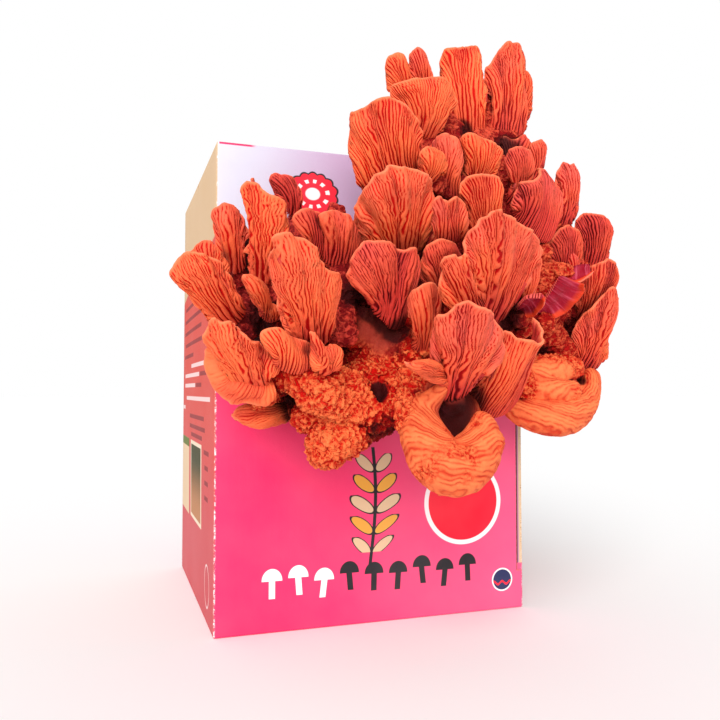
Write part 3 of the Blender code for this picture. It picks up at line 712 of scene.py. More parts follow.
def grain_group():
    """Fine unevenness, as a height from 0 to 1: coarse and fine noise over each other."""
    inputs = {"Place": (VECTOR, None), "Scale": (NUMBER, 900.0)}
    tree, g, wires, end = new_group("grain", "ShaderNodeTree", inputs, {"Height": NUMBER})
    coarse = g.noise(wires["Place"], wires["Scale"], 3)
    fine = g.noise(wires["Place"], wires["Scale"] * 3.7, 2)
    g.plug(end.inputs["Height"], coarse + (fine - 0.5) * 0.5)
    return tree


def oval_group():
    """Distance from an oval's middle on a flat panel: 1 on its outline, less inside."""
    sizes = ("Across", "Up", "Middle Across", "Middle Up", "Half Width", "Half Height", "Turn")
    inputs = {name: (NUMBER, 0.0) for name in sizes}
    tree, g, wires, end = new_group("oval", "ShaderNodeTree", inputs, {"Distance": NUMBER})
    across = wires["Across"] - wires["Middle Across"]
    up = wires["Up"] - wires["Middle Up"]
    cosine, sine = g.math("COSINE", wires["Turn"]), g.math("SINE", wires["Turn"])
    along = (across * cosine + up * sine) / wires["Half Width"]
    over = (up * cosine - across * sine) / wires["Half Height"]
    g.plug(end.inputs["Distance"], g.math("SQRT", along * along + over * over))
    return tree


GROUP_MAKERS = {"flesh": flesh_group, "grain": grain_group, "oval": oval_group}


def shared_group(name):
    return bpy.data.node_groups.get(name) or GROUP_MAKERS[name]()


def new_material(name, **plain):
    """A material, the graph of its nodes and its shader, with the plain values set on its sockets."""
    made = bpy.data.materials.new(name)
    made.use_nodes = True
    graph = Graph(made.node_tree)
    shader = made.node_tree.nodes["Principled BSDF"]
    for label, value in plain.items():
        shader.inputs[label.replace("_", " ")].default_value = value
    return made, graph, shader


FLESH = {
    "Subsurface_Weight": 0.06,
    "Subsurface_Radius": (1.0, 0.25, 0.12),
    "Subsurface_Scale": 0.0010,
    "Specular_IOR_Level": 0.2,
    "IOR": 1.38,
}


def flesh_nodes(g, s, flesh, height, **more):
    """The flesh group, fed with a finish's own colours and with what the mesh says of each spot."""
    colours = {name: getattr(s, name.lower()) for name in ("Crest", "Fold", "Deep_Crest", "Deep_Fold")}
    return g.group(
        shared_group("flesh"), Place=g.object_place(), Height=height, Tone=g.attribute("tone"),
        Shade=g.attribute("shade"), Rim_Colour=flesh.rim, Gloom=flesh.painted_shade, **colours, **more,
    )


def gill_material(s):
    """The gilled underside of a cap, which carries its own relief and colour attributes."""
    made, g, shader = new_material("gills", **FLESH)
    flush = {"Blush_Colour": s.blush, "Blush": g.attribute("blush")}
    flesh = flesh_nodes(g, s, s, g.attribute("gill"), Rim=g.attribute("rim") * 0.6, **flush)
    relief = g.streaks(0.12, 170) * 0.8 + g.grain(1400) * 0.3
    g.finish(shader, flesh["Color"], 0.74 - flesh["Mask"] * 0.14, relief, 0.4 * MM)
    return made


def cap_top_material(s):
    """The upper side of a cap: smooth, with pale streaks that run to the rim, and painted shade where it is
    shut in.
    """
    made, g, shader = new_material("cap_tops", **FLESH)
    streaks = g.streaks(0.1, 60)
    pale = g.step(streaks, 0.45, 0.7)
    bloom = g.step(g.attribute("blush"), 0.94, 0.99)  # 1 on a cap that lies face down
    top = g.mix(pale * 0.7, s.cap_top, s.cap_streak)
    top = g.mix(bloom, top, g.mix(pale, s.bloom_top, s.bloom_streak))
    # Deeper red by tone, which is partly painted shade, and painted shade where little light reaches
    top = g.mix(g.attribute("tone") * 0.35, top, s.deep_fold)
    top = g.mix((1 - g.step(g.attribute("shade"), 0.2, 0.7)) * 0.8, top, s.painted_shade)
    lip = g.mix(bloom, s.rim, display(214, 62, 32))
    shade = g.mix(g.attribute("rim"), top, lip)
    g.finish(shader, shade, 0.5 - pale * 0.15, streaks + g.grain(700) * 0.3, 0.5 * MM)
    return made


def crumb_material(s, flesh):
    """The crumbly and folded skin of the masses, coloured by its own relief and by painted light and shade."""
    made, g, shader = new_material("crumb", **FLESH)
    rest = g.out(g.node("ShaderNodeAttribute", attribute_name="rest"), "Vector")
    crumb, near, pit, light = (g.attribute(name) for name in ("crumb", "near", "pit", "shade"))
    height = skin_relief(g, rest, s.grain, crumb, g.attribute("phase"), near)
    # Painted light: crumbs that the light reaches are painted paler
    lit_crumb = crumb * g.step(light, 0.3, 0.95)
    skin = flesh_nodes(g, s, flesh, (height * (0.9 - crumb * 0.1) + lit_crumb * 0.42) * (1 - pit))
    # Painted highlight: the lit lobes are washed with peach
    lit_lobe = g.step(light, 0.35, 0.9) * (1 - crumb) * (1 - near)
    shade = g.mix(lit_lobe * 0.42 * height, skin["Color"], display(255, 144, 86))
    shade = g.mix(near * g.step(light, 0.1, 0.6) * 0.75, shade, display(150, 52, 40))
    # Painted shade: the slot in the front of the crumbs is painted near black
    shade = g.mix(pit * 0.85, shade, display(46, 6, 6))
    relief = height * (0.8 + crumb * 0.8) + g.grain(1100) * 0.5
    g.finish(shader, shade, 0.8 - skin["Mask"] * 0.14, relief, 0.6 * MM)
    return made


# ---------------------------------------------------------------- the carton's print


BAND_FOOT = 171.5  # mm up to the foot of the band round the carton's top
WASHBOARD = 3.2  # mm between the faint waves that the flutes press into the liner
DISC, DISC_RING = (43, 53), 0.895  # a plain ring begins at this share of the disc's radius
ROUNDEL, ROUNDEL_HALF, ROUNDEL_RING = (64, 14.3), (5.6, 5.6), 0.87
ROSETTE, ROSETTE_HALF = (-32, 196), (11.5, 9.5)
SPRIG_FOOT, SPRIG_MIDDLE, LEAF_PITCH, LEAF_HALF = 30, -4, 9.5, (6.6, 2.5)
ROW_START, ROW_UP, ROW_PITCH, ROW_COUNT, ROW_PALE = -56, 21.5, 11.9, 9, 3
# The side's plain bars: how far up, where each starts and ends in depth, and whether it is pale
BAR_HEIGHT = 2.4
BARS = (
    (152, -12, 56, 0), (145, -34, 58, 0), (138, -24, 60, 0), (131, -34, 56, 0), (124.5, 10, 60, 0),
    (118.5, -50, 20, 1), (113.5, -17, 56, 1), (113.5, -44, -19, 0), (108, 0, 56, 1), (108, -26, -2, 0),
    (101, -56, 46, 1), (95.5, 54, 68, 1), (91.5, -36, 26, 0), (86.2, -40, 26, 0), (81.8, -30, 18, 0),
    (76, -53, -36, 0), (69, -51, -39, 0), (62, -51, -39, 0), (55, -51, -39, 0),
)


class Print:
    """A printed panel: flat inks laid over each other on board. Its places are in mm on the carton."""

    def __init__(self, name, gloss, s):
        self.material, self.g, self.shader = new_material(name, IOR=1.45, Specular_IOR_Level=gloss)
        self.s, self.place, self.shade = s, self.g.object_place(), WHITE
        self.across, self.depth, self.up = self.g.parts(self.g.scaled(self.place, 1 / MM))

    def lay(self, mask, shade):
        """Lays a flat ink over what is there, where the mask is 1."""
        self.shade = self.g.mix(mask, self.shade, shade)

    def oval(self, middle, half, turn=0.0, spot=None):
        """How far each spot is from an oval's middle: 1 on its outline, less inside."""
        across, up = spot or (self.across, self.up)
        return self.g.group(
            shared_group("oval"), Across=across, Up=up, Middle_Across=middle[0], Middle_Up=middle[1],
            Half_Width=half[0], Half_Height=half[1], Turn=turn,
        )["Distance"]

    def inside(self, distance, edge=1.0, blur=0.02):
        return 1 - self.g.step(distance, edge - blur, edge + blur)

    def cracks(self):
        """White flecks where the ink has cracked along the carton's four upright folds."""
        g, across, depth, up = self.g, self.across, self.depth, self.up
        middle, half = CARTON_MIDDLE / MM, CARTON_HALF / MM
        beside = half.x - g.math("ABSOLUTE", across - middle.x)
        before = half.y - g.math("ABSOLUTE", depth - middle.y)
        line = 1 - g.step(g.math("MAXIMUM", beside, before), 0.2, 1.0)
        fleck = g.noise(g.joined(across * 0.7, depth * 0.7, up * 0.62), 1.0, 4, Roughness=0.8)
        worn = g.noise(g.joined(0, 0, up * 0.022), 1.0, 1) * 0.10
        lower = (1 - g.step(up, 20, 170)) * 0.06
        return line * g.step(fleck + worn + lower, 0.58, 0.66)

    def finished(self):
        """The material, with what all printed board shares: cracked ink, a slight washboard and paper grain."""
        g, grain, cracked = self.g, self.g.grain(1600), self.cracks()
        washboard = g.math("SINE", (self.across + self.depth) * (2 * math.pi / WASHBOARD)) * 0.04
        mottle = (g.noise(self.place, 35, 3) - 0.5) * 0.06 + 0.02
        shade = g.mix(cracked, g.mix(mottle, self.shade, WHITE), self.s.paper)
        relief = grain * 0.5 + washboard - cracked * 0.6
        g.finish(self.shader, shade, 0.42 + grain * 0.12 + cracked * 0.3, relief, 0.12 * MM)
        return self.material


def print_disc(front):
    """A plain disc in a plain ring."""
    disc = front.oval(DISC, [front.s.disc_radius / MM] * 2)
    front.lay(front.inside(disc, 1.0, 0.008), front.s.paper)
    front.lay(front.inside(disc, DISC_RING, 0.008), front.s.red)


def print_roundel(front):
    """A small roundel in a plain ring, with a thin wave across it."""
    g, roundel = front.g, front.oval(ROUNDEL, ROUNDEL_HALF)
    field = front.inside(roundel, ROUNDEL_RING)
    front.lay(front.inside(roundel), front.s.paper)
    front.lay(field, front.s.navy)
    ripple = g.math("ABSOLUTE", front.up - 12.8 - g.math("SINE", front.across * 1.4) * 0.7)
    front.lay(field * (1 - g.step(ripple, 0.5, 0.6)), front.s.red)


def print_sprig(front):
    """A sprig of paired leaves on a slender, slightly bent stem."""
    g, s, lift = front.g, front.s, front.up - SPRIG_FOOT
    row = g.math("FLOOR", lift / LEAF_PITCH)
    side = g.math("ABSOLUTE", front.across - SPRIG_MIDDLE - g.math("SINE", lift * 0.055) * 2.2)
    taper = 1 - g.math("ABSOLUTE", lift - 24) * 0.014
    leaf = front.oval((LEAF_HALF[0], 0.4), LEAF_HALF, 0.55, (side / taper, lift - (row + 0.5) * LEAF_PITCH))
    tall = g.span(lift, 2, 47.4, 0.4)
    blade = front.inside(leaf, 0.98, 0.03) * tall
    stem = (1 - g.step(side, 0.7, 0.9)) * g.step(lift, -4, -3.6) * (1 - g.step(lift, 50, 50.5))
    front.lay(g.math("MAXIMUM", front.inside(leaf, 1.16, 0.03) * tall, stem), s.black)
    front.lay(blade, s.cream)
    front.lay(blade * g.step(g.math("PINGPONG", row, 1.0), 0.4, 0.6), s.gold)


def print_row(front):
    """A row of plain capped shapes, pale at the left and dark at the right, no two at the same height."""
    g, s, start = front.g, front.s, front.across - ROW_START
    number = g.math("FLOOR", start / ROW_PITCH)
    slot = start - (number + 0.5) * ROW_PITCH
    sway = g.math("SINE", number * 2.4)
    height = front.up - ROW_UP - sway * 1.2
    hood = front.oval((0, 1.2), (4.6, 5.2), 0.0, (slot, height))
    hood = front.inside(hood, 1.0, 0.03) * g.step(height, 0.9, 1.1)
    foot = 1 - g.step(g.math("ABSOLUTE", slot + height * 0.12 * sway), 1.3, 1.5)
    shapes = g.math("MAXIMUM", hood, foot * g.span(height, -6.8, 1.4, 0.2))
    shapes = shapes * g.span(number, -0.6, ROW_COUNT - 0.4, 0.2)
    front.lay(shapes, g.mix(g.step(number, ROW_PALE - 0.6, ROW_PALE - 0.4), s.paper, s.black))


def print_rosette(front):
    """A scalloped rosette with a ring of beads, on the band."""
    g, s, rosette = front.g, front.s, front.oval(ROSETTE, ROSETTE_HALF)
    bearing = g.math("ARCTAN2", front.up - ROSETTE[1], front.across - ROSETTE[0])
    petal = rosette - g.math("ABSOLUTE", g.math("SINE", bearing * 7)) * 0.10
    front.lay(front.inside(petal), s.black)
    front.lay(front.inside(petal, 0.92), s.red)
    ring = 1 - g.step(g.math("ABSOLUTE", rosette - 0.62), 0.07, 0.10)
    front.lay(ring * g.step(g.math("SINE", bearing * 10), 0.1, 0.3), s.paper)
    front.lay(front.inside(rosette, 0.3, 0.03), s.paper)


def front_material(s):
    """The front: a lavender band over hot pink, with plain designs and the glued seam at the right fold."""
    front = Print("front_print", 0.15, s)
    g, across, up = front.g, front.across, front.up
    # Painted light: the pink is paler towards the right, where the light washes it out
    front.shade = g.mix(g.step(across, -60, 75), s.pink, s.pale_pink)
    lavender = g.mix(g.step(across, -70, -10), s.lavender, display(192, 158, 190))
    front.lay(g.step(up - g.math("SINE", across * 0.06) * 4, BAND_FOOT, BAND_FOOT + 0.7), lavender)
    for motif in (print_disc, print_roundel, print_sprig, print_row, print_rosette):
        motif(front)
    # The seam is a dark slit with bare board beside it
    seam = g.step(up, 21, 22) * (1 - g.step(up, BAND_FOOT, BAND_FOOT + 0.5)) * g.step(across, 72.5, 72.7)
    bare = g.mix(g.step(across, 73.6, 74.2), display(186, 120, 156), s.cream)
    front.lay(seam, g.mix(g.step(across, 73.1, 73.3), display(64, 14, 40), bare))
    # A sliver of pink wraps over the top edge
    front.lay(g.step(up, 214.7, 215) * g.step(across, -74.8, -74.2) * (1 - g.step(across, -61, -57.5)), s.pink)
    return front.finished()


def side_material(s):
    """The sides: a cream band over salmon, with plain bars, a plain card and a plain framed field."""
    panel = Print("side_print", 0.03, s)
    g, depth, up = panel.g, panel.depth, panel.up
    panel.shade = g.mix(g.step(up, 20, 120), display(206, 86, 92), s.salmon)
    panel.lay(g.step(up + depth * 0.12, 166, 168), s.cream)

    def block(low, high, first, last):
        return g.span(up, low, high, 0.3) * g.span(depth, first, last, 0.4)

    for low, first, last, pale in BARS:
        shade = s.paper if pale else display(112, 30, 40)
        panel.lay(block(low, low + BAR_HEIGHT, first, last) * 0.7, shade)
    panel.lay(block(38, 80, 28, 69), display(226, 196, 160))
    panel.lay(block(75, 80, 28, 69), display(104, 116, 40))
    panel.lay(block(39, 80, -28, 20), display(236, 216, 190))
    field = g.mix(g.step(up, 45, 72), display(188, 128, 84), display(66, 64, 24))
    panel.lay(block(41, 78, -25, 17), field)
    ring = panel.oval((-48, 17), (8, 10), 0.0, (depth, up))
    panel.lay((panel.inside(ring) - panel.inside(ring, 0.9)) * 0.7, s.paper)
    return panel.finished()


def flap_material(s):
    """The back, top and base: plain hot pink board, with the lavender band along the back's top."""
    back = Print("flap_print", 0.15, s)
    g, up = back.g, back.up
    back.shade = s.pink
    band = g.step(up, BAND_FOOT, BAND_FOOT + 0.7) * (1 - g.step(up, 215, 215.5))
    back.lay(band * g.step(back.depth, 60, 65), s.lavender)
    return back.finished()


def kraft_material(s):
    """Bare board: brown, with level fibres."""
    made, g, shader = new_material("kraft", IOR=1.45, Specular_IOR_Level=0.2)
    fibre = g.noise(g.vector("MULTIPLY", g.object_place(), (300, 300, 1500)), 1.0, 4)
    shade = g.mix(g.step(fibre, 0.35, 0.7), s.kraft, display(206, 164, 118))
    g.finish(shader, shade, 0.8 + fibre * 0.1, fibre, 0.2 * MM)
    return made


def bag_material():
    """The clear bag over the block of straw and sawdust, seen as one mottled surface."""
    made, g, shader = new_material("grow_block", IOR=1.45, Coat_Weight=0.5, Coat_Roughness=0.25)
    spot = g.object_place()
    flakes = g.cells(spot, 260)
    shade = g.mix(g.step(flakes, 0.15, 0.6), display(226, 210, 178), display(150, 112, 72))
    shade = g.mix(g.step(g.noise(spot, 40, 3), 0.45, 0.62), shade, display(240, 234, 222))
    g.finish(shader, shade, 0.45 + flakes * 0.2, flakes, 0.6 * MM)
    return made


# ---------------------------------------------------------------- shared mesh work


def place(x, out, up):
    """A place on the cluster, in metres."""
    return np.array((CARTON_MIDDLE.x + x * MM, CARTON_LOW.y - out * MM, CARTON_LOW.z + up * MM))


def unit(vector):
    return vector / np.linalg.norm(vector)


def smooth(share):
    share = np.clip(share, 0, 1)
    return share * share * (3 - 2 * share)


def link(name, mesh):
    """The mesh as a piece of the model, riding on the model's one body."""
    made = loose(name, mesh)
    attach(made, "root")
    return made


def applied(holder):
    """The holder's mesh with its modifiers applied. The holder itself goes."""
    graph = bpy.context.evaluated_depsgraph_get()
    mesh = bpy.data.meshes.new_from_object(holder.evaluated_get(graph))
    bpy.data.objects.remove(holder)
    return mesh


def loose(name, data):
    """An object that isn't a piece of the model: a lamp, the camera, or a mesh that modifiers work on."""
    made = bpy.data.objects.new(name, data)
    bpy.context.scene.collection.objects.link(made)
    return made


def fuse(holder, voxel):
    """Fuses all that the holder's mesh has into one skin, of quads this many mm across."""
    remesh = holder.modifiers.new("fuse", "REMESH")
    remesh.mode = "VOXEL"
    remesh.voxel_size = voxel * MM


def data_from(mesh, name):
    """What a working mesh has become, as mesh data. The working mesh goes."""
    data = bpy.data.meshes.new(name)
    mesh.to_mesh(data)
    mesh.free()
    return data


def quad_faces(numbers):
    """The faces between a grid of points, given the points' numbers."""
    corners = (numbers[:-1, :-1], numbers[:-1, 1:], numbers[1:, 1:], numbers[1:, :-1])
    return np.stack(corners, axis=-1).reshape(-1, 4).tolist()


def merged_copy(node):
    """A CAD node's mesh, with its loose triangles joined."""
    mesh = bmesh.new()
    mesh.from_mesh(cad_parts[node].data)
    bmesh.ops.remove_doubles(mesh, verts=mesh.verts, dist=0.01 * MM)
    return mesh


def set_number(mesh, name, values):
    layer = mesh.attributes.new(name, "FLOAT", "POINT")
    layer.data.foreach_set("value", np.ascontiguousarray(values, np.float32).ravel())


NOISE_CELLS = 64


def noise(seed, x, y):
    """Smooth noise from -1 to 1, on a lattice one unit across, at each (x, y)."""
    table = np.random.default_rng(seed).uniform(-1, 1, (NOISE_CELLS, NOISE_CELLS))
    column, row = np.floor(x).astype(int), np.floor(y).astype(int)
    s, t = smooth(x - column), smooth(y - row)
    left, right = column % NOISE_CELLS, (column + 1) % NOISE_CELLS
    low, high = row % NOISE_CELLS, (row + 1) % NOISE_CELLS
    bottom = table[left, low] * (1 - s) + table[right, low] * s
    top = table[left, high] * (1 - s) + table[right, high] * s
    return bottom * (1 - t) + top * t


# ---------------------------------------------------------------- the mushrooms


def cap_frame(cap):
    """The cap's root, its length, and the ways along it, out of its gill side and across it."""
    root, tip = place(*cap.root), place(*cap.tip)
    reach = np.linalg.norm(tip - root)
    along = (tip - root) / reach
    turn = math.radians(cap.turn)
    facing = np.array((math.sin(turn), -math.cos(turn), 0.0))
    facing = unit(facing - facing @ along * along)
    return root, reach, along, facing, np.cross(along, facing)


def sight(across, down):
    """The way from the camera through a pixel of the photograph."""
    share = SENSOR / LENS / PHOTO
    local = Vector(((across - PHOTO / 2) * share, (PHOTO / 2 - down) * share, -1))
    return np.array(Euler(CAMERA_TURN).to_matrix() @ local)


def on_sheet(cap, across, down, forward=0.0):
    """Where the line of sight through a pixel meets the cap's curled sheet, moved some mm out of its gill side.

    The spot is found on the plane through the cap's length that is square to the view, and then goes
    along the line of sight by as much as the sheet leans and curls out of that plane.
    """
    root, _, along, facing, _ = cap_frame(cap)
    radius = cap.width / 2 * MM / math.sin(math.radians(min(cap.wrap, 180)) / 2)
    eye, ray = np.array(CAMERA_PLACE), unit(sight(across, down))
    view = unit(root - eye)
    flat = unit(view - view @ along * along)
    sideways = np.cross(along, -flat)
    spot = eye + ray * ((root - eye) @ flat / (ray @ flat))
    side = (spot - root) @ sideways
    outward = facing @ flat
    lean = np.clip(-(facing @ sideways) / outward, -0.7, 0.7) * side
    curl = radius - math.sqrt(radius**2 - np.clip(side, -0.95 * radius, 0.95 * radius) ** 2)
    return spot + ray * (lean - math.copysign(curl, outward) - forward * MM) / (ray @ flat)


def smooth_line(corners, steps=12):
    """A smooth curve through the corners."""
    ends = (2 * corners[:1] - corners[1:2], corners, 2 * corners[-1:] - corners[-2:-1])
    a, b, c, d = (np.concatenate(ends)[i : len(corners) - 1 + i, None] for i in range(4))
    t = np.linspace(0, 1, steps, endpoint=False)[:, None]
    line = b + (c - a) * t / 2 + (a - 2.5 * b + 2 * c - d / 2) * t**2 + (d - a + 3 * b - 3 * c) / 2 * t**3
    return np.concatenate((line.reshape(-1, corners.shape[1]), corners[-1:]))


def drawn_line(cap, outline):
    """An outline in pixels as a smooth curve on the cap, and how far along it each of its points is."""
    line = smooth_line(np.array([on_sheet(cap, *point) for point in outline]))
    steps = np.linalg.norm(np.diff(line, axis=0), axis=1)
    return line, np.concatenate(((0,), np.cumsum(steps)))


def spread_along(line, run, shares):
    """Points on a curve at the given shares of its length."""
    return np.stack([np.interp(shares * run[-1], run, line[:, axis]) for axis in range(3)], axis=-1)


def foot_line(cap, across):
    """Where the gills start: on the drawn foot line, or else round the front of the stem."""
    if cap.foot:
        return spread_along(*drawn_line(cap, cap.foot), (across + 1) / 2)
    root, _, _, facing, sideways = cap_frame(cap)
    half = cap.width * cap.neck / 2 * MM
    bearing = across * STEM_FRONT
    aside, forward = np.sin(bearing) * half, (np.cos(bearing) - 1) * half * 0.8
    return root + np.outer(aside, sideways) + np.outer(forward, facing)


def normalized(vectors):
    return vectors / (np.linalg.norm(vectors, axis=-1, keepdims=True) + 1e-12)


class Sheet(NamedTuple):
    """A cap's middle surface: a grid of gill lines that run from its foot to its rim."""

    points: np.ndarray
    normals: np.ndarray  # on its gill side
    run: np.ndarray  # mm along the rim, for each line
    travel: np.ndarray  # mm from the foot, along each line
    u: np.ndarray  # -1 to 1 across
    v: np.ndarray  # 0 at the foot to 1 at the rim
    swell: np.ndarray  # -1 in the bottom of a broad fold to 1 on top of one


STEM_FRONT = math.radians(78)  # how far round the stem its gills start, where no foot line is drawn
HUB = 0.42  # the rim's scallops point away from this share of the way from the foot to the rim's middle
FOOT_PULL, RIM_PULL = 0.38, 0.3  # how far a gill line keeps its way out of the foot and into the rim
BUNCH = 0.36 * math.pi  # draws the columns closer together towards the two sides
SCALLOPS = (2.6, 1.1)  # mm along the rim, coarse and fine
FOLDS = (8.5, 4.2)  # mm across, broad and narrow
RUFFLES, CURLS = 2.7, 13  # mm along the rim
CURL_START = 0.82  # the share of a cap's length at which it starts to curl back
FULL_LENGTH = 22  # mm. A shorter cap has shallower waves.
LEAST_COLUMNS, LEAST_ROWS, LIP_ROWS = 28, 20, 4


def sheet_grid(width, reach, s):
    """How far across, from -1 to 1, a sheet's columns are, and how far along, from 0 to 1, its rows are.

    The columns crowd at the sides, and the last rows at the lip.
    """
    columns = max(LEAST_COLUMNS, 2 * round(width / s.across_step / 2))
    rows = max(LEAST_ROWS, 2 * round(reach / s.along_step / 2))
    across = np.sin(np.linspace(-BUNCH, BUNCH, columns + 1)) / math.sin(BUNCH)
    lip_start = 1 - 0.5 * s.rim_thickness / reach
    turns = np.arange(1, LIP_ROWS + 1) * math.pi / (2 * LIP_ROWS)
    lip_rows = lip_start + (1 - lip_start) * np.sin(turns)
    return across, np.concatenate((np.linspace(0, lip_start, rows + 1 - LIP_ROWS), lip_rows))


def ruffles(cap, seed, at, v):
    """Broad folds, from about -1 to 1, and how far they, the waves and the curl lift each point, as a share."""
    swell = noise(seed + 2, at / FOLDS[0], v * 1.6) + 0.5 * noise(seed + 3, at / FOLDS[1], v * 1.2)
    wave = 1.2 * v**1.3 * swell + 0.4 * v**5 * noise(seed + 4, at / RUFFLES, v * 2.5)
    curl = smooth((v - CURL_START) / (1 - CURL_START)) * (0.5 + 0.8 * noise(seed + 5, at / CURLS, v))
    return swell, wave * cap.ruffle - curl


def cap_sheet(cap, seed, s):
    """The cap's sheet: gill lines swept from its foot to its drawn rim, then folded, waved and curled."""
    facing = cap_frame(cap)[3]
    line, run = drawn_line(cap, cap.rim)
    middle = line.mean(axis=0)
    root = foot_line(cap, np.linspace(-1, 1, 5)).mean(axis=0)
    reach = np.linalg.norm(line - root, axis=1).max()
    across, along = sheet_grid(run[-1], reach, s)
    at = (across + 1) / 2 * run[-1] / MM
    rim = spread_along(line, run, (across + 1) / 2)
    outward = normalized(rim - (root + (middle - root) * HUB))
    coarse, fine = (noise(seed + i, at / size + 9, at * 0) for i, size in enumerate(SCALLOPS))
    scallop = (0.55 * coarse + 0.3 * fine) * np.clip((1 - np.abs(across)) * 6, 0, 1)
    rim = rim + outward * (scallop * s.scallop)[:, None]
    foot = foot_line(cap, across)
    span = np.linalg.norm(rim - foot, axis=1)[:, None]
    start = normalized(0.5 * unit(middle - root) + 0.5 * (rim - foot) / span)
    first, last = foot + start * span * FOOT_PULL, rim - outward * span * RIM_PULL
    u, v = np.meshgrid(across, along)
    t = v[..., None]
    points = foot * (1 - t) ** 3 + first * 3 * t * (1 - t) ** 2 + last * 3 * t**2 * (1 - t) + rim * t**3
    points = points + facing * (cap.bow * MM * 4 * t * (1 - t))
    at = np.broadcast_to(at, u.shape)
    swell, lift = ruffles(cap, seed, at, v)
    lift = lift * s.ripple * min(1, reach / (FULL_LENGTH * MM))
    points = points + grid_normals(points, facing) * lift[..., None]
    steps = np.linalg.norm(np.diff(points, axis=0), axis=2) / MM
    travel = np.concatenate((np.zeros((1, len(across))), np.cumsum(steps, axis=0)))
    return Sheet(points, grid_normals(points, facing), at, travel, u, v, np.clip(swell * np.sqrt(v), -1, 1))


def grid_normals(points, side):
    """Unit normals of a grid of points, on the given side of it."""
    normals = normalized(np.cross(np.gradient(points, axis=1), np.gradient(points, axis=0)))
    return normals if normals.mean(axis=(0, 1)) @ side > 0 else -normals


FORK_DRAWS = 4096  # how many gills get their own place to fork at
SLIT = 0.37  # how far a gill's slit lies from where it would fall by number
SHARPNESS = 1.2  # above 1, the slits are narrower than the crests
FORKS = 4  # how often a gill can fork
WANDER, DRIFT = (0.17, 2.3), (0.4, 9)  # by how many gills a gill strays, and over how many mm of its length
BREAKS, DEEPS = (1.7, 3.6), (7, 11)  # mm across and along the gills, of their breaks and deeper stretches


def gill_relief(sheet, seed, pitch):
    """Gills as a height from 0 in a slit to 1 on a crest. They wander, break, and fork as the cap widens."""
    spread = np.linalg.norm(np.diff(sheet.points, axis=1), axis=2).sum(axis=1)[:, None] / MM
    lanes = max(3, round(float(spread[0, 0]) / pitch))
    middle = (sheet.u + 1) / 2 * lanes + SLIT
    wander = WANDER[0] * noise(seed + 6, middle * 1.1, sheet.travel / WANDER[1])
    drift = DRIFT[0] * noise(seed + 7, middle * 0.3 + 8, sheet.travel / DRIFT[1])
    lane = middle + wander + drift
    level = np.log2(np.maximum(spread / (lanes * pitch), 1))
    height = np.abs(np.sin(math.pi * lane))
    for fork in range(1, FORKS + 1):
        cell = np.floor(lane * 2 ** (fork - 1)).astype(int)
        late = np.random.default_rng(seed + 7 + fork).uniform(-0.4, 0.4, FORK_DRAWS)[cell % FORK_DRAWS]
        share = smooth((level - (fork - 0.55) + late) / 0.3)
        height = height * (1 - share) + np.abs(np.sin(math.pi * lane * 2**fork)) * share
    broken = 0.5 + 0.5 * noise(seed + 12, sheet.run / BREAKS[0], sheet.travel / BREAKS[1])
    deep = 0.5 + 0.5 * noise(seed + 13, sheet.run / DEEPS[0], sheet.travel / DEEPS[1])
    strength = (0.42 + 0.48 * broken + 0.2 * deep) * (1.12 - 0.3 * sheet.v)
    return 1 - (1 - height) ** SHARPNESS * np.clip(strength * 1.08, 0, 1)


def back_faces(front, back):
    """Faces of a sheet's back, at half the front's fineness. They share the front's border points."""
    (rows, columns), faces = front.shape, []
    for i in range(0, rows - 1, 2):
        for j in range(0, columns - 1, 2):
            corners = [(i, j), (i, j + 2), (i + 2, j + 2), (i + 2, j)]
            middles = [(i, j + 1), (i + 1, j + 2), (i + 2, j + 1), (i + 1, j)]
            on_border = [i == 0, j + 2 == columns - 1, i + 2 == rows - 1, j == 0]
            face = []
            for corner, middle, shared in zip(corners, middles, on_border):
                face.append(int(back[corner]))
                if shared:
                    face.append(int(front[middle]))
            faces.append(face)
    return faces


STEM_THICKNESS = (3, 8)  # mm, the least and the most
HEEL = 1.5  # mm over which a cap's foot is rounded off
GILL_LEVEL = 0.85  # the height on a gill that lies level with the flesh
LEAST_FLESH = 0.15  # mm that is always left between a slit and the cap's middle surface


def cap_body(cap, sheet, relief, s):
    """The gilled front and the smooth back of a cap, which meet in a rounded lip."""
    u, v = sheet.u, sheet.v
    reach = sheet.travel[-1].mean() * MM
    stem = np.clip(cap.width * cap.neck * 0.8, *STEM_THICKNESS) * MM
    thickness = s.rim_thickness + (stem - s.rim_thickness) * (1 - v) ** 1.6
    lip_start = v[-1 - LIP_ROWS, 0]
    lip = np.sqrt(np.clip(1 - ((v - lip_start) / (1 - lip_start)).clip(0, 1) ** 2, 0, 1))
    foot = HEEL * MM / reach
    heel = np.sqrt(np.clip(1 - ((foot - v) / foot).clip(0, 1) ** 2, 0, 1))
    edge = np.sqrt(np.clip(1 - np.abs(u) ** (2 + 9 * v), 0, 1))
    half = thickness / 2 * lip * heel * edge
    to_rim = (sheet.travel[-1] - sheet.travel) * MM
    calm = smooth((to_rim - s.lip * 0.3) / (s.lip * 2.2)) * smooth((1 - np.abs(u)) / 0.04)
    depth = s.gill_height * (relief - GILL_LEVEL) * calm * smooth(v / 0.06)
    height = np.maximum(half + depth, (LEAST_FLESH * MM - half) * lip)
    front = sheet.points + sheet.normals * height[..., None]
    back = sheet.points - sheet.normals * half[..., None]
    return front, back, to_rim, calm


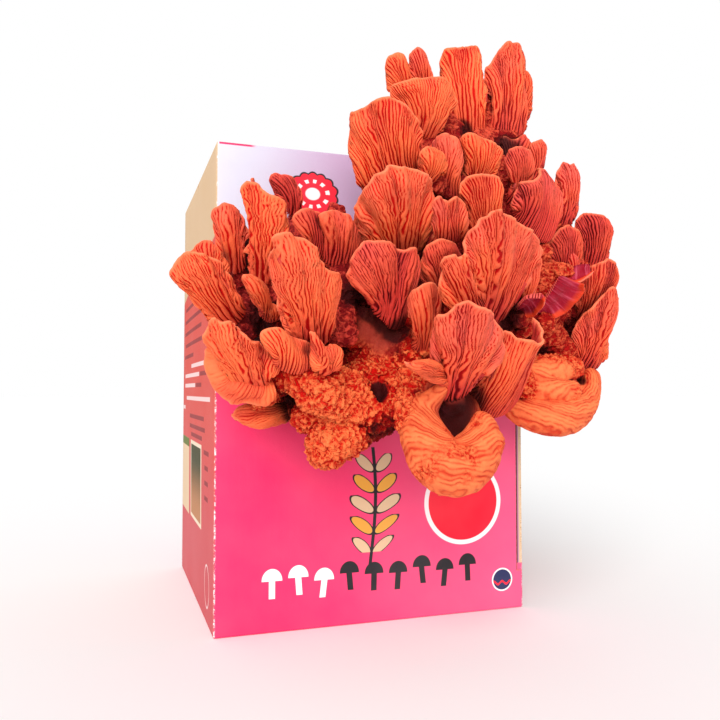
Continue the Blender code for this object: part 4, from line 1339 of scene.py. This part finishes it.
def cap_mesh(cap, sheet, seed, s):
    """A cap as one closed mesh, with its back at half the fineness of its front."""
    relief = 1 - (1 - gill_relief(sheet, seed, s.gill_pitch / MM)) * cap.gills
    front_points, back_points, to_rim, calm = cap_body(cap, sheet, relief, s)
    front = np.arange(sheet.u.size).reshape(sheet.u.shape)
    back, inner = front.copy(), np.zeros_like(front, bool)
    inner[2:-2:2, 2:-2:2] = True
    back[inner] = front.size + np.arange(inner.sum())
    vertices = np.concatenate((front_points.reshape(-1, 3), back_points[inner]))
    front_faces = quad_faces(front)
    faces = front_faces + [face[::-1] for face in back_faces(front, back)]
    mesh = bpy.data.meshes.new(cap.name)
    mesh.from_pydata(vertices.tolist(), [], faces)
    slots = np.zeros(len(faces), int)
    slots[len(front_faces) :] = 1
    mesh.polygons.foreach_set("material_index", slots)
    openings = np.concatenate((
        openness(front_points + sheet.normals * CLEAR_OF_SKIN).ravel(),
        0.35 + 0.65 * openness(back_points - sheet.normals * CLEAR_OF_SKIN)[inner],
    ))
    paint_cap(mesh, cap, sheet, seed, (relief, to_rim, calm, openings, inner), s)
    work = bmesh.new()
    work.from_mesh(mesh)
    if work.calc_volume(signed=True) < 0:
        bmesh.ops.reverse_faces(work, faces=work.faces)
        work.to_mesh(mesh)
    work.free()
    mesh.shade_smooth()
    return mesh


def paint_cap(mesh, cap, sheet, seed, body, s):
    """Keeps on the mesh what its colours go by: relief, lip, light, tone, blush, and a map along the gills."""
    v, (relief, to_rim, calm, openings, inner) = sheet.v, body

    def both(values):
        return np.concatenate((values.ravel(), values[inner]))

    face_down = cap.turn == 180
    side = np.clip((np.abs(sheet.u) - 0.965) / 0.03, 0, 1) * smooth((v - 0.25) / 0.2)
    rim = smooth((1.1 - to_rim / (s.lip * 3.5)) * 3) if face_down else smooth(1.4 - to_rim / s.lip)
    # Painted light and shade: the tops of the broad folds are painted paler and their bottoms darker
    paint = smooth((relief - 0.2) / 0.8) + 0.25 * sheet.swell
    set_number(mesh, "gill", both(np.clip(1 - (1 - paint) * calm, 0, 1)))
    set_number(mesh, "rim", both(np.maximum(rim, side)))
    set_number(mesh, "shade", openings)
    # Painted shade: the tone deepens towards the foot, where caps in front shut out the light, and in the
    # bottoms of the broad folds, and eases on their tops
    tone = cap.tone + 0.55 * smooth((0.55 - v) / 0.55) - 0.4 * sheet.swell
    set_number(mesh, "tone", both(np.clip(tone, 0, 1)))
    flush = cap.blush * smooth((v - 0.35) / 0.5) * (0.75 + 0.5 * noise(seed + 14, sheet.run / 9, v * 3))
    set_number(mesh, "blush", both(np.ones_like(v) if face_down else np.clip(flush, 0, 0.9)))
    flat = np.stack((both(sheet.run), both(sheet.travel)), axis=-1) / 100
    corners = np.empty(len(mesh.loops), int)
    mesh.loops.foreach_get("vertex_index", corners)
    layer = mesh.uv_layers.new(name="along_gills")
    layer.data.foreach_set("uv", flat[corners].astype(np.float32).ravel())


# ---------------------------------------------------------------- how deep in the cluster a spot lies: how open it is to the light, for the painted shade


@functools.cache
def cap_sheets(settings):
    """Every cap's sheet, by the cap's name."""
    return {cap.name: cap_sheet(cap, 20 * number, settings) for number, cap in enumerate(CAPS + BUDS)}


@functools.cache
def open_lattice():
    """A lattice over the cluster: the share of the ways to the light that is free at each of its spots."""
    vertices, faces = [], []
    for sheet in cap_sheets(bpy.context.scene.growkit_mushroom).values():
        grid = sheet.points[::6, ::8]
        rows, columns = grid.shape[:2]
        first = len(vertices)
        vertices += grid.reshape(-1, 3).tolist()
        faces += quad_faces(first + np.arange(rows * columns).reshape(rows, columns))
    for name in (*MASSES, "carton"):
        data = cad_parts[name].data
        first = len(vertices)
        vertices += [tuple(vertex.co) for vertex in data.vertices]
        faces += [[first + i for i in polygon.vertices] for polygon in data.polygons]
    tree = BVHTree.FromPolygons(vertices, faces)
    low = np.array(CAD_BOX[0]) - LATTICE_STEP * 2
    high = np.array((CAD_BOX[1][0], CARTON_LOW.y, CAD_BOX[1][2])) + LATTICE_STEP * 2
    counts = np.ceil((high - low) / LATTICE_STEP).astype(int) + 1
    ways = light_ways()
    values = [
        sum(tree.ray_cast(spot, way, LIGHT_REACH)[0] is None for way in ways) / len(ways)
        for spot in (Vector(low + LATTICE_STEP * np.array(index)) for index in np.ndindex(*counts))
    ]
    return low, np.array(values).reshape(counts)


def light_ways():
    """Directions spread evenly round the way that the light comes from."""
    turn = Vector(LIGHT_WAY).to_track_quat("Z", "Y")
    ways = []
    for i in range(LIGHT_RAYS):
        height = 1 - 0.9 * (i + 0.5) / LIGHT_RAYS
        bearing = i * math.pi * (3 - math.sqrt(5))
        flat = math.sqrt(1 - height**2)
        ways.append(turn @ Vector((flat * math.cos(bearing), flat * math.sin(bearing), height)))
    return ways


def openness(points):
    """How open each point is to the light, from 0 to 1, read from the lattice and cut down in the hollows. The
    colours paint shade by it.
    """
    low, values = open_lattice()
    spots = np.clip((points - low) / LATTICE_STEP, 0, np.array(values.shape) - 1.001)
    cell = spots.astype(int)
    share = spots - cell
    total = np.zeros(points.shape[:-1])
    for corner in np.ndindex(2, 2, 2):
        weight = np.where(corner, share, 1 - share).prod(axis=-1)
        index = cell + corner
        total += weight * values[index[..., 0], index[..., 1], index[..., 2]]
    # Painted shade: in each hollow, the light that the colours go by is taken away
    for *middle, radius in HOLLOWS:
        away = np.linalg.norm(points - place(*middle), axis=-1) / (radius * MM)
        total = total * smooth((away - HOLLOW_DARK) / (HOLLOW_END - HOLLOW_DARK))
    return total


# ---------------------------------------------------------------- the masses


def limbs():
    """For each mass, the short limbs that carry the caps nearest to it out to their roots."""
    found = {name: [] for name in MASSES}
    beads = [(name, bead) for name, strings in MASSES.items() for s in strings for bead in s]
    for cap in CAPS + BUDS:
        name, bead = min(beads, key=lambda item: math.dist(item[1][:3], cap.root) - item[1][3])
        end = min(LIMB_RADIUS[1], cap.width * 0.3)
        found[name].append(((*bead[:3], min(bead[3], LIMB_RADIUS[0])), (*cap.root, end)))
    return found


def bead_mesh(strings):
    """Overlapping balls along a smooth line through each string, close enough to read as one limb."""
    mesh = bmesh.new()
    for string in strings:
        line = smooth_line(np.array(string, float), 6)
        for start, end in zip(line, line[1:]):
            spacing = BEAD_STEP * min(start[3], end[3])
            steps = max(1, round(math.dist(start[:3], end[:3]) / spacing))
            for i in range(steps + 1):
                bead = start + (end - start) * i / steps
                where = Matrix.Translation(place(*bead[:3]))
                bmesh.ops.create_icosphere(mesh, subdivisions=2, radius=bead[3] * MM, matrix=where)
    return data_from(mesh, "beads")


def crumb_relief(g, spot, grain):
    """Crumbs, as heights from 0 in the gaps to 1 on their tops: short curled folds over soft lumps."""
    fine = g.math("DIVIDE", 1.0, grain)
    swirl = g.vector("SUBTRACT", g.noise(spot, fine * 0.7, 2, result="Color"), (0.5, 0.5, 0.5))
    bent = g.vector("ADD", spot, g.scaled(swirl, grain * 1.6))
    lumps = 1 - g.step(g.cells(bent, fine * 0.8), 0.1, 0.8)
    curls = 1 - g.step(g.math("ABSOLUTE", g.noise(bent, fine, 1) - 0.5), 0.02, 0.14)
    return lumps * 0.5 + curls * 0.4 + (g.noise(bent, fine * 3.4, 1) - 0.5) * 0.4


def fold_relief(g, spot, phase):
    """Layered folds, as heights from 0 in the lines between to 1 on their crests: fine ones over broad ones."""
    fine = g.math("ABSOLUTE", g.math("SINE", phase * math.pi))
    broad = g.math("ABSOLUTE", g.math("SINE", phase * (math.pi / 4.3)))
    broken = g.step(g.noise(spot, 260, 2), 0.3, 0.62)
    return 1 - (1 - fine) * (broken * 0.36 + 0.1) - (1 - broad) * 0.3


def skin_relief(g, spot, grain, crumb, phase, near):
    """Crumbs where crumb is 1 and folds where it is 0. The folds calm down where near is 1."""
    folds = fold_relief(g, spot, phase) * (1 - near) + near * 0.8
    return folds * (1 - crumb) + crumb_relief(g, spot, grain) * crumb


def paint_geometry(g, end, geometry, finish):
    """The last nodes of a Geometry Nodes tree: makes instances real and gives the mesh its finish."""
    real = g.node("GeometryNodeRealizeInstances", {"Geometry": geometry})
    painted = g.node("GeometryNodeSetMaterial", {"Geometry": g.out(real), "Material": finish})
    g.plug(end.inputs["Geometry"], g.out(painted))


def stored(g, geometry, kind, values):
    """The geometry with the values kept on its points, each under its name."""
    for label, value in values.items():
        keep = g.node("GeometryNodeStoreNamedAttribute", data_type=kind, domain="POINT")
        for name, wire in {"Geometry": geometry, "Name": label, "Value": value}.items():
            g.plug(keep.inputs[name], wire)
        geometry = g.out(keep)
    return geometry


def skin_tree():
    """Geometry Nodes: raises crumbs and folds on a smooth skin, and keeps how high and where they are."""
    inputs = {"Geometry": ("NodeSocketGeometry", None)}
    inputs |= {name: (NUMBER, 0.0) for name in ("Grain", "Height", "Crumb Share", "Fold Pitch", "Tone")}
    inputs |= {name: (VECTOR, None) for name in ("Heart", "Pit")}
    inputs["Finish"] = ("NodeSocketMaterial", None)
    outputs = {"Geometry": "NodeSocketGeometry"}
    tree, g, wires, end = new_group("mushroom_skin", "GeometryNodeTree", inputs, outputs)
    spot = g.out(g.node("GeometryNodeInputPosition"))
    distance = g.vector("LENGTH", g.vector("SUBTRACT", spot, wires["Heart"]), result="Value")
    phase = distance / wires["Fold Pitch"] + g.noise(spot, 95, 2) * 3.5 + g.noise(spot, 260, 2) * 0.8
    near = 1 - g.step(distance, *(radius * MM for radius in HEART_RADIUS))
    share = g.step(g.noise(spot, 60, 2) + wires["Crumb Share"], 0.95, 1.08) * (1 - near)
    height = skin_relief(g, spot, wires["Grain"], share, phase, near)
    tall = height * wires["Height"] * (0.4 + share * 0.6)
    heaps = (0.55 - g.cells(spot, 115)) * share * HEAP_HEIGHT * MM
    broad = (g.noise(spot, 110, 2) - 0.5) * wires["Height"] * 1.6
    off_pit = g.vector("MULTIPLY", g.vector("SUBTRACT", spot, wires["Pit"]), (1.0, 0.35, 0.5))
    in_pit = 1 - g.step(g.vector("LENGTH", off_pit, result="Value"), 0.8 * MM, 3.6 * MM)
    normal = g.out(g.node("GeometryNodeInputNormal"))
    move = g.scaled(normal, tall + broad + heaps - in_pit * PIT_DEPTH * MM)
    # The tone deepens round the heart: partly painted shade, where the skin lies back in a hollow
    tone, crumb = wires["Tone"] + near * 0.75, share * (1 - in_pit)
    numbers = {"phase": phase, "tone": tone, "near": near, "crumb": crumb, "pit": in_pit}
    kept = stored(g, wires["Geometry"], "FLOAT", numbers)
    kept = stored(g, kept, "FLOAT_VECTOR", {"rest": spot})
    moved = g.node("GeometryNodeSetPosition", {"Geometry": kept, "Offset": move})
    shaded = g.node("GeometryNodeSetShadeSmooth", {"Geometry": g.out(moved)})
    paint_geometry(g, end, g.out(shaded), wires["Finish"])
    return tree


def add_nodes(obj, tree, **inputs):
    """A Geometry Nodes modifier, with its inputs set by their sockets' identifiers."""
    modifier = obj.modifiers.new(tree.name, "NODES")
    modifier.node_group = tree
    ids = {item.name: item.identifier for item in tree.interface.items_tree if item.in_out == "INPUT"}
    for name, value in inputs.items():
        modifier[ids[name.replace("_", " ")]] = value


def mass_mesh(name, strings, tree, finish, s):
    """A mass: its beads fused, melted together and given crumbs and folds."""
    skin = SKINS[name]
    beads = loose(name, bead_mesh(strings))
    fuse(beads, skin.voxel)
    melt = beads.modifiers.new("melt", "SMOOTH")
    melt.iterations = round(s.smoothing / skin.voxel)
    melt.factor = 0.5
    add_nodes(
        beads, tree, Grain=s.grain, Height=skin.height * MM, Crumb_Share=skin.crumb,
        Fold_Pitch=s.fold_pitch, Tone=skin.tone, Heart=tuple(place(*skin.heart)),
        Pit=tuple(place(*PIT)), Finish=finish,
    )
    mesh = applied(beads)
    points, normals = np.empty((2, len(mesh.vertices), 3), np.float32)
    mesh.vertices.foreach_get("co", points.ravel())
    mesh.vertex_normals.foreach_get("vector", normals.ravel())
    set_number(mesh, "shade", openness(points + normals * CLEAR_OF_SKIN))
    return mesh


# ---------------------------------------------------------------- the carton


FACE_SLOTS = {(0, 1): 1, (0, -1): 1, (1, -1): 0, (1, 1): 2, (2, 1): 2, (2, -1): 2}  # by axis and side
BARE_SLOT = 3
PANEL_CUTS = ((0, 16), (1, 14), (2, 22))  # how many strips the panels are cut into along each axis
ON_FACE = 0.05 * MM  # a point this close to an outer face is on it
SKIN_DEEP = 0.94  # a point beyond this share of the way out to a panel moves with it


def round_folds(mesh, crease):
    """Rounds the edges in which two of the carton's outer faces meet."""

    def faces_at(vertex):
        sides = [abs(abs(vertex.co[axis]) - CARTON_HIGH[axis]) < ON_FACE for axis in (0, 1)]
        return sum(sides) + (min(vertex.co.z - CARTON_LOW.z, CARTON_HIGH.z - vertex.co.z) < ON_FACE)

    folds = [
        edge for edge in mesh.edges
        if all(faces_at(vertex) >= 2 for vertex in edge.verts) and len(edge.link_faces) == 2
        and edge.calc_face_angle(0) > 1
    ]
    bmesh.ops.bevel(
        mesh, geom=folds, offset=crease, segments=3, profile=0.5, affect="EDGES", clamp_overlap=True
    )


def cut_panels(mesh):
    """Cuts the panels into strips both ways, so that they can bend."""
    for axis, steps in PANEL_CUTS:
        for i in range(1, steps):
            spot, normal = Vector((0, 0, 0)), Vector((0, 0, 0))
            spot[axis] = CARTON_LOW[axis] + (CARTON_HIGH[axis] - CARTON_LOW[axis]) * i / steps
            normal[axis] = 1
            geometry = mesh.verts[:] + mesh.edges[:] + mesh.faces[:]
            bmesh.ops.bisect_plane(mesh, geom=geometry, dist=0.01 * MM, plane_co=spot, plane_no=normal)


def bulge_panels(mesh, bulge):
    """Pushes the middles of the panels out, the lid's less than the others'. The base stays flat."""
    for vertex in mesh.verts:
        share = [(vertex.co[axis] - CARTON_MIDDLE[axis]) / CARTON_HALF[axis] for axis in range(3)]
        for axis in range(3):
            if abs(share[axis]) < SKIN_DEEP:
                continue
            first, second = (max(0.0, 1 - share[other] ** 2) for other in range(3) if other != axis)
            push = bulge if axis != 2 else 0.3 * bulge * (share[2] > 0)
            vertex.co[axis] += math.copysign(push * first * second, share[axis])


def sort_faces(mesh, crease):
    """Gives each outer face the slot of its side of the carton, and every other face the bare board's."""
    for face in mesh.faces:
        normal, centre = face.normal, face.calc_center_median() - CARTON_MIDDLE
        axis = max(range(3), key=lambda a: abs(normal[a]))
        outside = abs(centre[axis]) > CARTON_HALF[axis] - 1.1 * crease and normal[axis] * centre[axis] > 0
        side = int(math.copysign(1, normal[axis]))
        face.material_index = FACE_SLOTS[axis, side] if outside else BARE_SLOT
        face.smooth = True


def carton_mesh(s):
    """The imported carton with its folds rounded, its panels a little bulged, and a slot for each face."""
    mesh = merged_copy("carton")
    bmesh.ops.dissolve_limit(mesh, angle_limit=math.radians(1), verts=mesh.verts, edges=mesh.edges)
    round_folds(mesh, s.crease)
    cut_panels(mesh)
    bulge_panels(mesh, s.bulge)
    sort_faces(mesh, s.crease)
    data = data_from(mesh, "carton_board")
    data.set_sharp_from_angle(angle=math.radians(40))
    return data


def flute_tree():
    """Geometry Nodes: flutes set side by side up a cut edge of the board."""
    inputs = {name: (VECTOR, None) for name in ("Foot", "Head")}
    inputs |= {name: (NUMBER, 1 * MM) for name in ("Pitch", "Thickness", "Depth")}
    inputs["Finish"] = ("NodeSocketMaterial", None)
    tree, g, wires, end = new_group("flutes", "GeometryNodeTree", inputs, {"Geometry": "NodeSocketGeometry"})
    line = g.node("GeometryNodeCurvePrimitiveLine", {"Start": wires["Foot"], "End": wires["Head"]})
    even = g.node("GeometryNodeCurveToPoints", {"Curve": g.out(line), "Length": wires["Pitch"]}, mode="LENGTH")
    size = g.joined(wires["Thickness"], wires["Depth"], wires["Pitch"] * 0.55)
    ball = g.node("GeometryNodeMeshUVSphere", {"Segments": 8, "Rings": 5, "Radius": 0.5})
    wobble = g.node("FunctionNodeRandomValue", data_type="FLOAT_VECTOR")
    for name, value in (("Min", (0.7, 0.7, 0.8)), ("Max", (1.25, 1.2, 1.3)), ("Seed", 3)):
        wobble.inputs[name].default_value = value
    placed = g.node("GeometryNodeInstanceOnPoints", {
        "Points": g.out(even), "Instance": g.out(ball, "Mesh"),
        "Scale": g.vector("MULTIPLY", size, g.out(wobble, "Value"))})
    paint_geometry(g, end, g.out(placed), wires["Finish"])
    return tree


def block_mesh():
    """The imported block, with shallow creases as of a bag that is drawn tight."""
    holder = loose("bagged_block", data_from(merged_copy("grow_block"), "bagged_block"))
    fuse(holder, BLOCK_VOXEL)
    data = applied(holder)
    points = np.empty((len(data.vertices), 3), np.float32)
    data.vertices.foreach_get("co", points.ravel())
    points = points.astype(float)
    centre = points.mean(axis=0)
    x, y, z = points.T / MM
    creases = noise(3, x / 9 + 20, z / 21) + noise(4, y / 8 + 20, z / 17)
    points += (centre - points) * (CREASE_DEPTH * np.abs(creases))[:, None]
    data.vertices.foreach_set("co", points.astype(np.float32).ravel())
    data.shade_smooth()
    return data


# ---------------------------------------------------------------- operators


class GROWKIT_OT_carton(bpy.types.Operator):
    """Make the printed carton"""

    bl_idname = "growkit.carton"
    bl_label = "Carton"

    def execute(self, context):
        s = context.scene.growkit_carton
        made = link("carton_board", carton_mesh(s))
        for finish in (front_material(s), side_material(s), flap_material(s), kraft_material(s)):
            made.data.materials.append(finish)
        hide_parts("carton")
        return {"FINISHED"}


class GROWKIT_OT_raw_edge(bpy.types.Operator):
    """Make the flutes that show where the board is torn and cut"""

    bl_idname = "growkit.raw_edge"
    bl_label = "Raw edges"

    def execute(self, context):
        s = context.scene.growkit_carton
        finish, g, shader = new_material("flutes", Roughness=0.85)
        stain = g.noise(g.object_place(), 700, 2)
        g.plug(shader.inputs["Base Color"], g.mix(stain, display(84, 54, 34), display(168, 120, 78)))
        holder = loose("raw_edge_flutes", bpy.data.meshes.new("raw_edge_flutes"))
        across, deep = CARTON_HIGH.x - RAW_EDGE_INSET[0] * MM, CARTON_LOW.y + RAW_EDGE_INSET[1] * MM
        foot, head = ((across, deep, up * MM) for up in RAW_EDGE_SPAN)
        thickness, depth = (size * MM for size in FLUTE_SIZE)
        add_nodes(
            holder, flute_tree(), Foot=foot, Head=head, Pitch=s.flute_pitch, Thickness=thickness,
            Depth=depth, Finish=finish,
        )
        mesh = applied(holder)
        link("raw_edge_flutes", mesh)
        return {"FINISHED"}


class GROWKIT_OT_block(bpy.types.Operator):
    """Make the bagged block inside the carton"""

    bl_idname = "growkit.block"
    bl_label = "Grow block"

    def execute(self, context):
        made = link("bagged_block", block_mesh())
        made.data.materials.append(bag_material())
        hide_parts("grow_block")
        return {"FINISHED"}


class GROWKIT_OT_masses(bpy.types.Operator):
    """Make the crumbly and folded masses that the mushrooms branch from"""

    bl_idname = "growkit.masses"
    bl_label = "Masses"

    def execute(self, context):
        s = context.scene.growkit_crumb
        finish = crumb_material(s, context.scene.growkit_mushroom)
        tree, carried = skin_tree(), limbs()
        for name, strings in MASSES.items():
            mesh = mass_mesh(name, (*strings, *carried[name]), tree, finish, s)
            made = link(name + "_flesh", mesh)
            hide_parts(name)
        return {"FINISHED"}


class GROWKIT_OT_caps(bpy.types.Operator):
    """Make every mushroom, with its gills"""

    bl_idname = "growkit.caps"
    bl_label = "Mushrooms"

    def execute(self, context):
        s = context.scene.growkit_mushroom
        gills, tops = gill_material(s), cap_top_material(s)
        for number, cap in enumerate(CAPS + BUDS):
            made = link(cap.name + "_cap", cap_mesh(cap, cap_sheets(s)[cap.name], 20 * number, s))
            made.data.materials.append(gills)
            made.data.materials.append(tops)
            if cap in CAPS:
                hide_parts(cap.name)
        return {"FINISHED"}


def white_world(strength):
    """White surroundings, which light the model less than they look bright behind it."""
    world = bpy.data.worlds.new("studio")
    world.use_nodes = True
    g = Graph(world.node_tree)
    seen = g.out(g.node("ShaderNodeLightPath"), "Is Camera Ray")
    background = world.node_tree.nodes["Background"]
    background.inputs["Color"].default_value = WHITE
    g.plug(background.inputs["Strength"], strength + seen * (1 - strength))
    return world


class GROWKIT_OT_stage(bpy.types.Operator):
    """Make the floor, the lights and the camera"""

    bl_idname = "growkit.stage"
    bl_label = "Stage"

    def execute(self, context):
        s = context.scene.growkit_stage
        scene = context.scene
        bpy.ops.mesh.primitive_plane_add(size=30, location=(0, 0, CARTON_LOW.z - 0.1 * MM))
        floor = context.object
        floor.name = "floor"
        finish, g, shader = new_material("floor", Roughness=1.0, Specular_IOR_Level=0.0)
        speckle = g.noise(g.object_place(), 3, 2)
        g.plug(shader.inputs["Base Color"], g.mix(speckle * 0.04, s.floor, WHITE))
        floor.data.materials.append(finish)

        scene.world = white_world(s.sky)
        for name, way, strength in (("key", KEY_WAY, s.sun), ("fill", FILL_WAY, s.fill)):
            light = bpy.data.lights.new(name, "SUN")
            light.energy, light.angle = strength, s.sun_size
            loose(name, light).rotation_euler = Vector(way).to_track_quat("Z", "Y").to_euler()

        lens = bpy.data.cameras.new("camera")
        lens.lens, lens.sensor_width, lens.clip_start = LENS, SENSOR, 0.01
        scene.camera = loose("camera", lens)
        scene.camera.location, scene.camera.rotation_euler = CAMERA_PLACE, CAMERA_TURN
        scene.view_settings.view_transform = "Standard"
        return {"FINISHED"}


class GROWKIT_PT_panel(bpy.types.Panel):
    bl_idname = "GROWKIT_PT_panel"
    bl_label = "Grow Kit"
    bl_space_type = "VIEW_3D"
    bl_region_type = "UI"
    bl_category = "Grow Kit"

    def draw(self, context):
        for operator in OPERATORS:
            self.layout.operator(operator.bl_idname)
        for name in SETTINGS:
            settings = getattr(context.scene, name)
            for prop in settings.bl_rna.properties:
                if prop.identifier not in ("rna_type", "name"):
                    self.layout.prop(settings, prop.identifier)


SETTINGS = {
    "growkit_carton": CartonSettings,
    "growkit_mushroom": MushroomSettings,
    "growkit_crumb": CrumbSettings,
    "growkit_stage": StageSettings,
}
OPERATORS = (
    GROWKIT_OT_carton,
    GROWKIT_OT_raw_edge,
    GROWKIT_OT_block,
    GROWKIT_OT_masses,
    GROWKIT_OT_caps,
    GROWKIT_OT_stage,
)


def register():
    for item in (*SETTINGS.values(), *OPERATORS, GROWKIT_PT_panel):
        bpy.utils.register_class(item)
    for name, kind in SETTINGS.items():
        setattr(bpy.types.Scene, name, PointerProperty(type=kind))


def unregister():
    for name in SETTINGS:
        delattr(bpy.types.Scene, name)
    for item in reversed((*SETTINGS.values(), *OPERATORS, GROWKIT_PT_panel)):
        bpy.utils.unregister_class(item)


def main():
    register()
    bpy.ops.growkit.carton()
    bpy.ops.growkit.raw_edge()
    bpy.ops.growkit.block()
    bpy.ops.growkit.masses()
    bpy.ops.growkit.caps()
    bpy.ops.growkit.stage()


if __name__ == "__main__":
    main()
